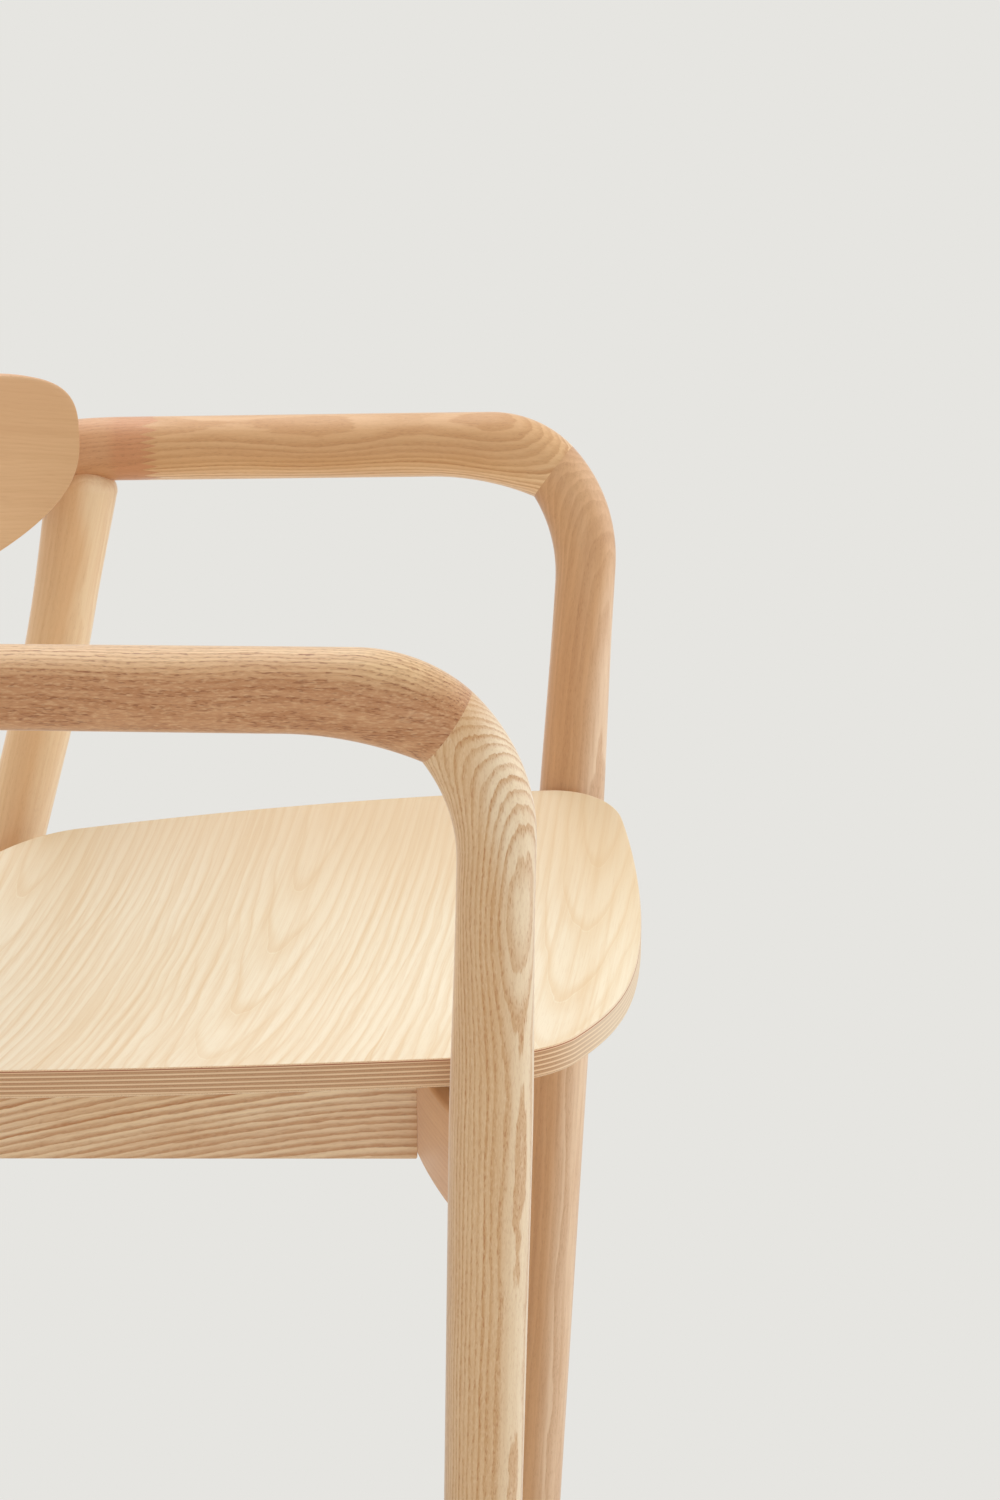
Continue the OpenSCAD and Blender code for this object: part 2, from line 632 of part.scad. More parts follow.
color(beech) place() both_sides() mitre_pin(0);  // mitre_dowels
color(beech) place() both_sides() shoulder_pin(0);  // shoulder_dowels
color(beech) place() both_sides() front_rail_pins(0);  // front_rail_dowels
color(beech) place() both_sides() rear_rail_pins(0);  // rear_rail_dowels
color(beech) place() both_sides() side_rail_pins(0);  // side_rail_dowels
color(steel) place() seat_screw_frames() screw(0, 0);  // seat_screws
color(steel) place() panel_screw_frames() screw(0, 0);  // panel_screws
color(ash) place() panel_plugs();
color(nylon) place() both_sides() {  // foot_glides
    translate(leg_axis(leg_end)) foot_glide();
    translate(rear_axis(rear_len)) foot_glide();
}
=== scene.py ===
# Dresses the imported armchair: turned ash frame, moulded plywood seat and back panel.
# It faces -Y, and the camera looks at its right-hand side from a little above.
import math

import bpy
import numpy as np

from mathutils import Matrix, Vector
from mathutils.bvhtree import BVHTree


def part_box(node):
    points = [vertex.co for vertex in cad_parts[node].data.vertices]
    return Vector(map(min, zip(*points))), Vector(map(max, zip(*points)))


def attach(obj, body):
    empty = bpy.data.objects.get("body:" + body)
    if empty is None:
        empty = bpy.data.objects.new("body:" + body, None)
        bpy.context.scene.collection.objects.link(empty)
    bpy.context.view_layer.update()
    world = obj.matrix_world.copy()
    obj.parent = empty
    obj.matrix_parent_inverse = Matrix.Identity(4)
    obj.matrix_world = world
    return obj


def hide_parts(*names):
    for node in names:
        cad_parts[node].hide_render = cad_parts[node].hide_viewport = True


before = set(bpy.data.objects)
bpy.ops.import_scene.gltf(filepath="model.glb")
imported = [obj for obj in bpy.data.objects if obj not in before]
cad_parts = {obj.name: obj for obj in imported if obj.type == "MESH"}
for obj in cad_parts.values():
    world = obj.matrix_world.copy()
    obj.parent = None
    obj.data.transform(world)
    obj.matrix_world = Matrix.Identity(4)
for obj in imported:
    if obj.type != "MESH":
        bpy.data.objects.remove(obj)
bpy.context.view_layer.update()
scene = bpy.context.scene
scene.view_settings.view_transform = "Standard"

# Places are set out in metres from the point midway between the two arm corners
corner = {"half": 0.245, "height": 0.655, "seatFront": 0.0455, "fall": 1.8, "toe": 1.5,
          "tube": 0.037, "outer": (0.012, 0.002), "inner": (0.0325, 0.0307), "kink": (22.5, 34),
          "steps": 48, "past": 0.006}
middle = np.array([0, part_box("seat_core")[0].y + corner["seatFront"], corner["height"]])
print("frame loaded, corners at", middle.round(4))

camera = {"place": (-1.3953, -0.1283, 0.3587), "yaw": 6.354, "pitch": 18.357, "lens": 69.6,
          "sensor": 36, "seesTo": 200}


def makeCamera():
    data = bpy.data.cameras.new("viewCamera")
    data.sensor_width = camera["sensor"]
    data.lens = camera["lens"]
    data.clip_end = camera["seesTo"]
    made = bpy.data.objects.new("viewCamera", data)
    yaw, pitch = math.radians(camera["yaw"]), math.radians(camera["pitch"])
    ahead = Vector((math.cos(yaw) * math.cos(pitch), math.sin(yaw) * math.cos(pitch), -math.sin(pitch)))
    made.rotation_euler = ahead.to_track_quat("-Z", "Y").to_euler()
    made.location = Vector(camera["place"]) + Vector(middle)
    scene.collection.objects.link(made)
    scene.camera = made


makeCamera()
print("camera placed")


# Arithmetic on a Term adds a Math node; flipped is for a number before the sign
def mathSign(operation, flipped=False):
    def apply(self, other):
        return self.nodes.calc(operation, *((other, self) if flipped else (self, other)))

    return apply


# Node maths: a Term wraps one socket
class Term:
    def __init__(self, nodes, socket):
        self.nodes = nodes
        self.socket = socket

    __add__ = __radd__ = mathSign("ADD")
    __mul__ = __rmul__ = mathSign("MULTIPLY")
    __sub__ = mathSign("SUBTRACT")
    __rsub__ = mathSign("SUBTRACT", True)
    __truediv__ = mathSign("DIVIDE")
    __rtruediv__ = mathSign("DIVIDE", True)


# The nodes of a material, of the world or of a Geometry Nodes group
class Nodes:
    def __init__(self, owner):
        self.owner = owner
        self.tree = owner
        if not isinstance(owner, bpy.types.NodeTree):
            owner.use_nodes = True
            self.tree = owner.node_tree
        self.tree.nodes.clear()

    # Any node: its type, its settings, then the values or links of its sockets
    def node(self, kind, settings, inputs):
        made = self.tree.nodes.new(kind)
        for key, value in settings.items():
            setattr(made, key, value)
        for key, value in inputs.items():
            if isinstance(value, Term):
                self.tree.links.new(value.socket, made.inputs[key])
            else:
                made.inputs[key].default_value = value
        return made

    def outputs(self, kind, settings, inputs):
        return [Term(self, socket) for socket in self.node(kind, settings, inputs).outputs]

    def term(self, kind, settings, inputs, output=0):
        return self.outputs(kind, settings, inputs)[output]

    def calc(self, operation, *values):
        return self.term("ShaderNodeMath", {"operation": operation}, dict(enumerate(values)))

    def step(self, value, low, high):
        return self.term("ShaderNodeMapRange", {"interpolation_type": "SMOOTHSTEP"},
                         {"Value": value, "From Min": low, "From Max": high})

    # 1 between two soft edges
    def between(self, value, rise, fall):
        return self.step(value, *rise) * (1 - self.step(value, *fall))

    def attribute(self, name):
        return self.term("ShaderNodeAttribute", {"attribute_type": "GEOMETRY", "attribute_name": name}, {}, 1)

    def place(self):
        return self.term("ShaderNodeTexCoord", {}, {}, 3)

    def split(self, vector):
        return self.outputs("ShaderNodeSeparateXYZ", {}, {0: vector})

    def noiseLine(self, value, scale):
        return self.term("ShaderNodeTexNoise", {"noise_dimensions": "1D"},
                         {"W": value, "Scale": scale, "Detail": 1.0})

    # Noise in cells whose number to the metre is given for each direction
    def noise(self, vector, cells, detail=2.0, rough=0.5):
        scaled = self.term("ShaderNodeVectorMath", {"operation": "MULTIPLY"}, {0: vector, 1: cells})
        return self.term("ShaderNodeTexNoise", {},
                         {"Vector": scaled, "Scale": 1, "Detail": detail, "Roughness": rough})

    def mix(self, factor, a, b):
        return self.term("ShaderNodeMix", {"data_type": "RGBA"}, {0: factor, 6: a, 7: b}, 2)

    # Colours of a look, each laid over the ones before it by its mask
    def layers(self, look, first, coats):
        base = look[first]
        for mask, colour in coats:
            base = self.mix(mask, base, look[colour])
        return base

    def finish(self, inputs, bump, depth, strength):
        inputs["Normal"] = self.term("ShaderNodeBump", {},
                                     {"Height": bump, "Strength": strength, "Distance": depth})
        surface = self.term("ShaderNodeBsdfPrincipled", {}, inputs)
        self.node("ShaderNodeOutputMaterial", {}, {"Surface": surface})
        return self.owner


def paint(name):
    return Nodes(bpy.data.materials.new(name))


# A colour, written 0 to 255, as the renderer's own light values
def tint(red, green, blue):
    parts = [c / 255 for c in (red, green, blue)]
    return tuple(p / 12.92 if p < 0.04045 else ((p + 0.055) / 1.055) ** 2.4 for p in parts) + (1,)


# Solid ash in the piece's own grain coordinates: x along the grain, y and z out from the pith
def makeAsh(name, look):
    s = paint(name)
    grain = s.attribute("grain")
    along, across, up = s.split(grain)
    fromPith = s.calc("SQRT", across * across + up * up)
    slow = s.noise(grain, (9, 60, 60))
    fine = s.noise(grain, (80, 520, 520))
    rings = fromPith / look["ring"] + (slow - 0.5) * look["wave"] + (fine - 0.5) * look["jitter"]
    turn = s.calc("FRACT", rings)
    own = s.noiseLine(rings, 0.7)
    tone = s.noiseLine(rings, 0.16)
    early = (s.step(turn, 0.86, 0.97) + (1 - s.step(turn, 0.02, look["fade"]))) * (own * 1.3 + 0.3)
    pores = s.noise(grain, (280, 1500, 1500), 1.0)
    openPores = s.step(pores, 0.52, 0.68) * (early * 0.7 + 0.3)
    fleck = s.noise(grain, (300, 1250, 1250))
    streak = s.noise(grain, (14, 420, 420), 3.0, 0.6)
    cloud = s.noise(grain, (7, 26, 26))
    nearEnd = (1 - s.step(along, *look["endAt"])) * look["endShift"]
    sap = s.step(across * look["sapWay"][0] + up * look["sapWay"][1] + nearEnd, *look["sapFrom"])
    base = s.layers(look, "pale", (
        (s.step(cloud, 0.3, 0.7), "deep"), (s.step(tone, 0.42, 0.72) * look["vary"], "warm"),
        (sap * look["sapMost"], "sap"), (s.step(streak, 0.35, 0.75) * look["streak"], "early"),
        (early * look["band"], "early"), (s.step(fleck, 0.45, 0.75) * look["fleck"], "fleckTint"),
        (openPores * look["pore"], "poreTint")))
    rough = 0.44 + early * 0.06 + (streak - 0.5) * 0.1
    return s.finish({"Base Color": base, "Roughness": rough, "Specular IOR Level": 0.5,
                     "Sheen Weight": 0.5, "Sheen Roughness": 0.3},
                    0.5 - openPores * 0.5 - early * 0.1, 0.00025, 0.22)


# What most of the ash shares, with no sapwood: each look names only what differs
plainAsh = {"jitter": 0.4, "fade": 0.8, "vary": 0.5, "streak": 0.3, "fleck": 0.12, "pore": 0.3,
            "sap": tint(240, 216, 188), "sapWay": (1, 0), "sapFrom": (1, 2), "sapMost": 0.0,
            "endAt": (0, 1), "endShift": 0}
ashLooks = {
    "paleLegAsh": {
        "pale": tint(226, 193, 152), "deep": tint(220, 184, 141), "early": tint(192, 140, 84),
        "warm": tint(212, 172, 126), "poreTint": tint(174, 111, 58), "fleckTint": tint(238, 213, 177),
        "ring": 0.0021, "wave": 1.4, "jitter": 0.5, "fade": 0.56, "band": 0.54, "streak": 0.2,
        "fleck": 0.3, "pore": 0.5, "sap": tint(241, 223, 193), "sapWay": (0.77, 0.655),
        "sapFrom": (0.057, 0.072), "sapMost": 0.85, "endAt": (0.02, 0.10), "endShift": 0.016},
    "redArmAsh": {
        "pale": tint(208, 157, 113), "deep": tint(199, 147, 103), "early": tint(163, 101, 53),
        "warm": tint(193, 138, 95), "poreTint": tint(126, 67, 29), "fleckTint": tint(229, 190, 147),
        "ring": 0.0023, "wave": 1.0, "jitter": 1.1, "fade": 0.6, "band": 0.42, "vary": 0.6,
        "fleck": 0.5, "pore": 0.6, "sap": tint(240, 208, 160), "sapWay": (-0.45, -0.89),
        "sapFrom": (-0.0165, -0.001), "sapMost": 0.85, "endAt": (-0.01, 0.09), "endShift": 0.012},
    "farArmAsh": {
        "pale": tint(225, 185, 137), "deep": tint(217, 174, 126), "early": tint(195, 144, 95),
        "warm": tint(209, 156, 109), "poreTint": tint(166, 118, 75), "fleckTint": tint(235, 199, 155),
        "ring": 0.0029, "wave": 1.9, "fade": 0.75, "band": 0.62, "pore": 0.25,
        "sap": tint(249, 218, 177), "sapWay": (-1, 0), "sapFrom": (-0.066, -0.050), "sapMost": 0.8},
    "farLegAsh": {
        "pale": tint(219, 176, 132), "deep": tint(212, 165, 119), "early": tint(188, 139, 96),
        "warm": tint(192, 142, 101), "poreTint": tint(162, 113, 73), "fleckTint": tint(228, 191, 149),
        "ring": 0.0040, "wave": 2.0, "jitter": 0.3, "fade": 0.9, "band": 0.33, "vary": 1.0,
        "streak": 0.35, "fleck": 0.1, "pore": 0.2, "sapFrom": (0.077, 0.0865), "sapMost": 0.72},
    "rearLegAsh": {
        "pale": tint(239, 202, 156), "deep": tint(233, 193, 147), "early": tint(218, 173, 124),
        "warm": tint(225, 183, 134), "poreTint": tint(190, 144, 100), "fleckTint": tint(246, 215, 172),
        "ring": 0.0030, "wave": 1.8, "band": 0.22, "fleck": 0.1, "pore": 0.15,
        "sap": tint(246, 224, 190), "sapWay": (0.7, -0.7), "sapFrom": (0.031, 0.041), "sapMost": 0.8,
        "endAt": (1.32, 1.36), "endShift": 0.008},
    "railAsh": {
        "pale": tint(219, 170, 126), "deep": tint(209, 159, 115), "early": tint(189, 135, 91),
        "warm": tint(202, 146, 104), "poreTint": tint(154, 103, 67), "fleckTint": tint(227, 186, 144),
        "ring": 0.0024, "wave": 1.6, "fade": 0.7, "band": 0.3,
        "sap": tint(208, 149, 107), "sapWay": (0, 0), "sapFrom": (0.2, 0.8), "sapMost": 0.9,
        "endAt": (0.012, 0.045), "endShift": 1},
    "frontRailAsh": {
        "pale": tint(229, 181, 135), "deep": tint(223, 174, 128), "early": tint(209, 155, 112),
        "warm": tint(218, 166, 121), "poreTint": tint(186, 134, 94), "fleckTint": tint(236, 192, 150),
        "ring": 0.0028, "wave": 1.6, "band": 0.25, "vary": 0.4, "pore": 0.15},
    "sideRailAsh": {
        "pale": tint(240, 217, 184), "deep": tint(233, 204, 166), "early": tint(184, 129, 82),
        "warm": tint(219, 180, 140), "poreTint": tint(158, 110, 72), "fleckTint": tint(240, 216, 184),
        "ring": 0.0040, "wave": 0.9, "jitter": 0.5, "fade": 0.7, "band": 0.75, "streak": 0.35,
        "fleck": 0.15},
}
ash = {name: makeAsh(name, {**plainAsh, **look}) for name, look in ashLooks.items()}


# Flat-cut face veneer, one leaf beside the next: rings round a pith that the leaf leaves slowly along it
def makeVeneer(name, look):
    s = paint(name)
    grain = s.attribute("grain")
    along, across, _ = s.split(grain)
    slow = s.noise(grain, (7, 22, 22))
    swell = s.noise(grain, (16, 90, 90))
    fromHeart = s.calc("PINGPONG", across - look["heart"] + (slow - 0.5) * 0.014, look["leaf"])
    deepness = look["under"] - along * look["rise"] + (slow - 0.5) * look["wave"]
    fromPith = s.calc("SQRT", fromHeart * fromHeart + deepness * deepness)
    rings = fromPith / look["ring"] + (swell - 0.5) * look["jitter"]
    turn = s.calc("FRACT", rings)
    own = s.noiseLine(rings, 0.8)
    early = s.between(turn, (0.7, 0.96), (0.97, 1.0)) + (1 - s.step(turn, 0.0, 0.45)) * 0.6
    early = early * (own * 1.2 + 0.35)
    streak = s.noise(grain, (4, 240, 240), 3.0, 0.6)
    fibre = s.noise(grain, (60, 1500, 1500))
    cloud = s.noise(grain, (3, 9, 9))
    # Painted shade: the colour darkens towards one side of the sheet, the seat's left-hand side (+x) and the
    # back panel's upper part
    tone = s.step(along * look["paintedShadeWay"][0] + across * look["paintedShadeWay"][1], *look["paintedShadeAt"])
    base = s.layers(look, "pale", (
        (s.step(cloud, 0.3, 0.7), "deep"), (s.step(streak, 0.4, 0.75) * look["streak"], "early"),
        (tone * look["paintedShadeMost"], "early"), (early * look["band"], "early"),
        (s.step(fibre, 0.5, 0.75) * look["pore"], "poreTint")))
    return s.finish({"Base Color": base, "Roughness": 0.42 + early * 0.06, "Specular IOR Level": 0.4},
                    0.5 - fibre * 0.5, 0.0001, 0.15)


# In each look the painted shade darkens the seat towards its left-hand side (+x) and the back panel towards
# its top
veneerLooks = {
    "seatVeneer": {
        "pale": tint(243, 232, 208), "deep": tint(239, 225, 197), "early": tint(223, 192, 148),
        "poreTint": tint(216, 188, 151), "ring": 0.0052, "heart": 0.147, "leaf": 0.081, "under": 0.026,
        "rise": 0.06, "wave": 0.004, "jitter": 0.25, "streak": 0.55, "band": 0.5, "pore": 0.25,
        "paintedShadeWay": (1, -0.25), "paintedShadeAt": (-0.02, 0.16), "paintedShadeMost": 0.6},
    "panelVeneer": {
        "pale": tint(218, 180, 136), "deep": tint(211, 172, 128), "early": tint(198, 155, 111),
        "poreTint": tint(187, 141, 100), "ring": 0.0026, "heart": 0.12, "leaf": 0.3, "under": 0.02,
        "rise": 0.01, "wave": 0.004, "jitter": 0.6, "streak": 0.4, "band": 0.3, "pore": 0.25,
        "paintedShadeWay": (-0.22, 1), "paintedShadeAt": (-0.165, -0.085), "paintedShadeMost": 0.7},
}
veneer = {name: makeVeneer(name, look) for name, look in veneerLooks.items()}


# Plywood edge: plies counted by the depth under the upper face, which the grain's z holds
def makePlyEdge(name, look):
    s = paint(name)
    grain = s.attribute("grain")
    _, across, depth = s.split(grain)
    upper, lower = look["face"], look["thick"] - look["face"]
    wobble = s.noise(grain, (25, 25, 0))
    layer = (depth - upper) / look["ply"] + (wobble - 0.5) * 0.25
    crossPly = s.between(s.calc("FRACT", layer * 0.5), (0.38, 0.43), (0.96, 1.0))
    inLayer = s.calc("FRACT", layer)
    glue = (1 - s.step(inLayer, 0.04, 0.14)) + s.step(inLayer, 0.9, 1.0)
    inside = s.between(depth, (upper - 0.0001, upper + 0.0001), (lower - 0.0001, lower + 0.0001))
    underFace = s.between(depth, (upper - 0.00015, upper), (upper + 0.0003, upper + 0.0006))
    grit = s.noise(grain, (1500, 1500, 2500))
    run = s.noise(grain, (40, 40, 3000))
    # The edge's front part is painted paler: painted light, laid over the plies
    base = s.layers(look, "long", (
        (crossPly * inside, "cross"), (s.step(grit, 0.45, 0.7) * crossPly * 0.5, "glue"),
        (s.step(run, 0.4, 0.7) * 0.3, "cross"), (glue * inside * 0.6, "glue"),
        ((1 - s.step(across, *look["paintedLitFrontAt"])) * 0.62, "paintedLitFront"), (underFace * look["line"], "red")))
    return s.finish({"Base Color": base, "Roughness": 0.6, "Specular IOR Level": 0.3},
                    0.5 - grit * crossPly * 0.4, 0.0001, 0.3)


# Both have the same face veneer; the front part of an edge is painted paler, painted light where it faces the
# front lamp
plainPly = {"face": 0.001, "paintedLitFront": tint(234, 220, 196)}
plyLooks = {
    "seatPlyEdge": {
        "thick": 0.0148, "ply": 0.001164, "long": tint(236, 205, 168), "cross": tint(197, 156, 119),
        "glue": tint(166, 121, 88), "red": tint(162, 94, 62), "line": 0.95, "paintedLitFrontAt": (-0.042, -0.012)},
    "panelPlyEdge": {
        "thick": 0.010, "ply": 0.00114, "long": tint(224, 186, 150), "cross": tint(208, 166, 130),
        "glue": tint(180, 132, 98), "red": tint(184, 128, 96), "line": 0.5, "paintedLitFrontAt": (-2, -1)},
}
plyEdge = {name: makePlyEdge(name, {**plainPly, **look}) for name, look in plyLooks.items()}
print("wood finishes made:", len(ash) + len(veneer) + len(plyEdge))


# Smooth steps, curves and rings shared by the pieces
def ease(t):
    t = np.clip(t, 0, 1)
    return t * t * (3 - 2 * t)


def blend(a, b, t):
    return a + (b - a) * t


def unit(v):
    return np.asarray(v, float) / np.linalg.norm(v)


def ringTurns(count):
    return np.arange(count) * 2 * math.pi / count


def ringAt(centre, halfU, halfV, turns):
    return centre + np.outer(np.cos(turns), halfU) + np.outer(np.sin(turns), halfV)


# A round ring square to the way that a leg runs, its first point turned towards a direction
def crossRing(centre, way, towards, r, turns):
    u = unit(towards - (towards @ way) * way)
    return ringAt(centre, u * r, np.cross(way, u) * r, turns)


# Corners past this many degrees stay sharp
sharpFrom = 38


# Every piece ends here, smooth between its sharp corners and on the chair's one body
def finishPiece(name, mesh, replaced):
    mesh.polygons.foreach_set("use_smooth", [True] * len(mesh.polygons))
    mesh.set_sharp_from_angle(angle=math.radians(sharpFrom))
    made = bpy.data.objects.new(name, mesh)
    scene.collection.objects.link(made)
    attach(made, "root")
    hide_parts(*replaced)
    return made


def makePiece(name, points, faces, grain, materials, faceMaterial, replaced):
    mesh = bpy.data.meshes.new(name)
    mesh.from_pydata((points + middle).tolist(), [], faces)
    attribute = mesh.attributes.new("grain", "FLOAT_VECTOR", "POINT")
    attribute.data.foreach_set("vector", np.asarray(grain, np.float32).ravel())
    for material in materials:
        mesh.materials.append(material)
    mesh.polygons.foreach_set("material_index", faceMaterial)
    mesh.validate()
    return finishPiece(name, mesh, replaced)


# For each face of a closed wall of rows, its two corners on the row before it
def wallCorners(rows, count):
    return [(j * count + i, j * count + (i + 1) % count) for j in range(rows - 1) for i in range(count)]


# One closed mesh through rings of points; each cap is a ladder between the ring's two halves
def sweep(name, rings, grain, side, material):
    rings, grain = np.array(rings, float), np.array(grain, float)
    rows, count = rings.shape[:2]
    if side < 0:
        rings = np.roll(rings[:, ::-1], 1, axis=1) * np.array([-1, 1, 1])
        grain = np.roll(grain[:, ::-1], 1, axis=1)
    faces = [(a, b, b + count, a + count) for a, b in wallCorners(rows, count)]
    last = (rows - 1) * count
    for i in range(count // 2):
        ladder = list(dict.fromkeys((i, (count - i) % count, count - i - 1, (i + 1) % count)))
        if len(ladder) > 2:
            faces.append(tuple(ladder))
            faces.append(tuple(last + v for v in reversed(ladder)))
    return makePiece(name, rings.reshape(-1, 3), faces, grain.reshape(-1, 3), [material],
                     [0] * len(faces), [name])


# Grain coordinates of a piece cut from a straight board
def boardGrain(points, origin, along, ringWay, pith, lift=None):
    along = unit(along)
    out = unit(np.asarray(ringWay, float) - np.dot(ringWay, along) * along)
    third = np.cross(along, out)
    offset = np.asarray(points, float) - origin
    s, o, w = offset @ along, offset @ out, offset @ third
    if lift is not None:
        o = o + lift(s)
    return np.stack([s + pith[2], o + pith[0], w + pith[1]], -1)


# The mitred corner, from the arm's and the leg's straight directions
fallTurn, toeTurn = math.radians(corner["fall"]), math.radians(corner["toe"])
crossing = np.array([corner["half"], 0, 0])
armWay = np.array([-math.sin(toeTurn), math.cos(toeTurn) * math.cos(fallTurn),
                   -math.cos(toeTurn) * math.sin(fallTurn)])
frontLeg = {"neck": 0.0345, "full": 0.0385, "fullAt": 0.230, "inward": 0.114, "bow": 0.002,
            "back": 0.025, "glide": 0.003, "steps": 90, "around": 120}
tubeR = corner["tube"] / 2
legEnd = corner["height"] - frontLeg["glide"]


# Axis of a front leg at a depth under the corner, and the way that it runs there
def legAxis(s):
    t = s / legEnd
    return np.array([corner["half"] - (frontLeg["inward"] + 4 * frontLeg["bow"] * (1 - t)) * t,
                     frontLeg["back"] * t, -s])


def legRun(s):
    t = s / legEnd
    return unit([-(frontLeg["inward"] + 4 * frontLeg["bow"] * (1 - 2 * t)) / legEnd,
                 frontLeg["back"] / legEnd, -1])


# The last ring of a leg, moved along the leg until it lies level over the glide
def cutLevel(ring, way):
    return ring + np.outer((-legEnd - ring[:, 2]) / way[2], way)


legWay = legRun(0)


# Piece 0 is the arm and 1 the leg; t runs from 0 at the mitre to 1 where the piece is straight, and the edge
# lies at off from its axis there. The result is how far it is along the piece and across it
def cornerEdge(t, off, piece, starts, bend):
    arc = (starts[1 - piece] - off) / (1 - math.cos(bend))
    turn = bend * (1 - t)
    return starts[piece] + arc * (math.sin(bend) - math.sin(turn)), off + arc * (1 - math.cos(turn))


def cornerEdges(t, r, piece):
    return (cornerEdge(t, -r, piece, corner["outer"], math.radians(45)),
            cornerEdge(t, r, piece, corner["inner"], math.radians(corner["kink"][piece])))


def cornerRings(r, piece, turns):
    across = unit(np.cross(armWay, legWay)) * (1 - 2 * piece)
    rings = []
    for k in range(corner["steps"] + 1):
        t = k / corner["steps"]
        p, q = (crossing + edge[piece] * armWay + edge[1 - piece] * legWay
                for edge in cornerEdges(t, r, piece))
        rings.append(ringAt((p + q) / 2, (q - p) / 2, across * blend(tubeR, r, ease(t)), turns))
    return rings


# The arms: a curved end from the mitre, a straight run, then the fingers of the joint
arm = {"jointAt": 0.252, "finger": 0.010, "fingers": 9, "fingerRoom": 0.012, "steps": 13,
       "around": 144, "seam": 0.00005}


def fingerTurns():
    turns = ringTurns(arm["around"])
    step = tubeR / arm["fingers"]
    knots = (np.arange(2 * arm["fingers"] + 2) - arm["fingers"] - 0.5) * step
    for knot in knots[np.abs(knots) < tubeR]:
        high = math.acos(np.clip(knot / tubeR, -1, 1))
        for wanted in (high, 2 * math.pi - high):
            turns[np.argmin(np.abs(turns - wanted))] = wanted
    return turns


# How far back the zigzag lies at a height above the tube's axis
def fingerDepth(height):
    step = tubeR / arm["fingers"]
    place = height / step + arm["fingers"] + 0.5
    return arm["finger"] * np.abs(place - 2 * np.round(place / 2))


jointTurns = fingerTurns()


def makeArm(name, side, material, ringWay, pith, lift):
    across = np.array([-math.cos(toeTurn), -math.sin(toeTurn) * math.cos(fallTurn),
                       math.sin(toeTurn) * math.sin(fallTurn)])
    down = np.cross(across, armWay)
    tilted = unit(np.cross(armWay, legWay))
    tilt = math.atan2(-tilted @ down, tilted @ across)
    rings = cornerRings(tubeR, 0, jointTurns)
    reach = cornerEdges(1, tubeR, 0)[1][0] + corner["past"]
    for share in np.linspace(0, 1, arm["steps"]):
        centre = crossing + blend(reach, arm["jointAt"] - arm["fingerRoom"], share) * armWay
        rings.append(ringAt(centre, down * tubeR, across * tubeR, jointTurns + tilt * (1 - share)))
    end = ringAt(crossing + arm["jointAt"] * armWay, down * tubeR, across * tubeR, jointTurns)
    height = -(end - crossing) @ down
    rings.append(end + np.outer(fingerDepth(height) - arm["seam"], armWay))
    grain = boardGrain(rings, crossing, armWay, ringWay, pith, lift)
    return sweep(name + "_arm", rings, grain, side, material)


# Long growth-ring bulges give the closed loops of flat-cut figure
def bulge(height, at, reach):
    return lambda s: height * np.exp(-((s - at) / reach) ** 2)


# A row of them gives one pointed lens after another
def bulges(height, at, apart, fade=0.3):
    return lambda s: height * np.cos((s - at) / apart * 2 * math.pi) * np.exp(-s / fade)


# A board cut from beside a crook: its rings swerve near one end
def swerve(height, reach):
    return lambda s: height * (1 - np.exp(-np.maximum(s, 0) / reach))


makeArm("left", 1, ash["farArmAsh"], (-0.48, 0, 0.87), (0.060, 0, 0.4), bulges(0.002, 0.05, 0.11))
makeArm("right", -1, ash["redArmAsh"], (0.89, 0, -0.45), (0.050, 0, 0), bulges(0.0013, 0.09, 0.11))


# The front legs: from the mitre down, necked under the corner, cut flat over the glide
def makeFrontLeg(name, side, material, ringWay, pith, lift):
    neckR = frontLeg["neck"] / 2
    neckAt = cornerEdges(1, neckR, 1)[1][0] + corner["past"]
    turns = ringTurns(frontLeg["around"])
    rings = cornerRings(neckR, 1, turns)
    for s in np.linspace(neckAt, legEnd, frontLeg["steps"]):
        grown = ease((s - neckAt) / (frontLeg["fullAt"] - neckAt))
        r = blend(frontLeg["neck"], frontLeg["full"], grown) / 2
        rings.append(crossRing(legAxis(s), legRun(s), armWay, r, turns))
    rings[-1] = cutLevel(rings[-1], legRun(legEnd))
    grain = boardGrain(rings, crossing, legAxis(legEnd) - crossing, ringWay, pith, lift)
    return sweep(name + "_front_leg", rings, grain, side, material)


makeFrontLeg("left", 1, ash["farLegAsh"], (-0.35, -0.94, 0), (0.045, 0.01, 0.7), swerve(0.024, 0.05))
makeFrontLeg("right", -1, ash["paleLegAsh"], (0.65, -0.75, 0), (0.070, 0, 0), bulge(0.0045, 0.10, 0.05))
print("arms and front legs made")


# The back rail: a straight stub behind each finger joint, a bend, and one long curve
backRail = {"bendStart": 0.276, "bendR": 0.070, "curveR": 0.420, "bendSteps": 40, "curveSteps": 45,
            "stub": 0.014, "seatReach": 0.15, "pith": (0.055, 0.03), "waver": 0.006, "waverRate": 9}


def turnWay(turn):
    return np.array([math.cos(turn), math.sin(turn)])


bendC = np.array([corner["half"], 0]) - backRail["bendR"] * turnWay(toeTurn) \
    + backRail["bendStart"] * turnWay(toeTurn + math.pi / 2)
midY = bendC[1] - math.sqrt((backRail["curveR"] - backRail["bendR"]) ** 2 - bendC[0] ** 2)
bendTurn = math.atan2(bendC[1] - midY, bendC[0])
railBack = midY + backRail["curveR"]


# A place in the plane of the arms, which falls towards the rear
def armPlane(x, y, z=0):
    return np.array([x, y * math.cos(fallTurn) + z * math.sin(fallTurn),
                     z * math.cos(fallTurn) - y * math.sin(fallTurn)])


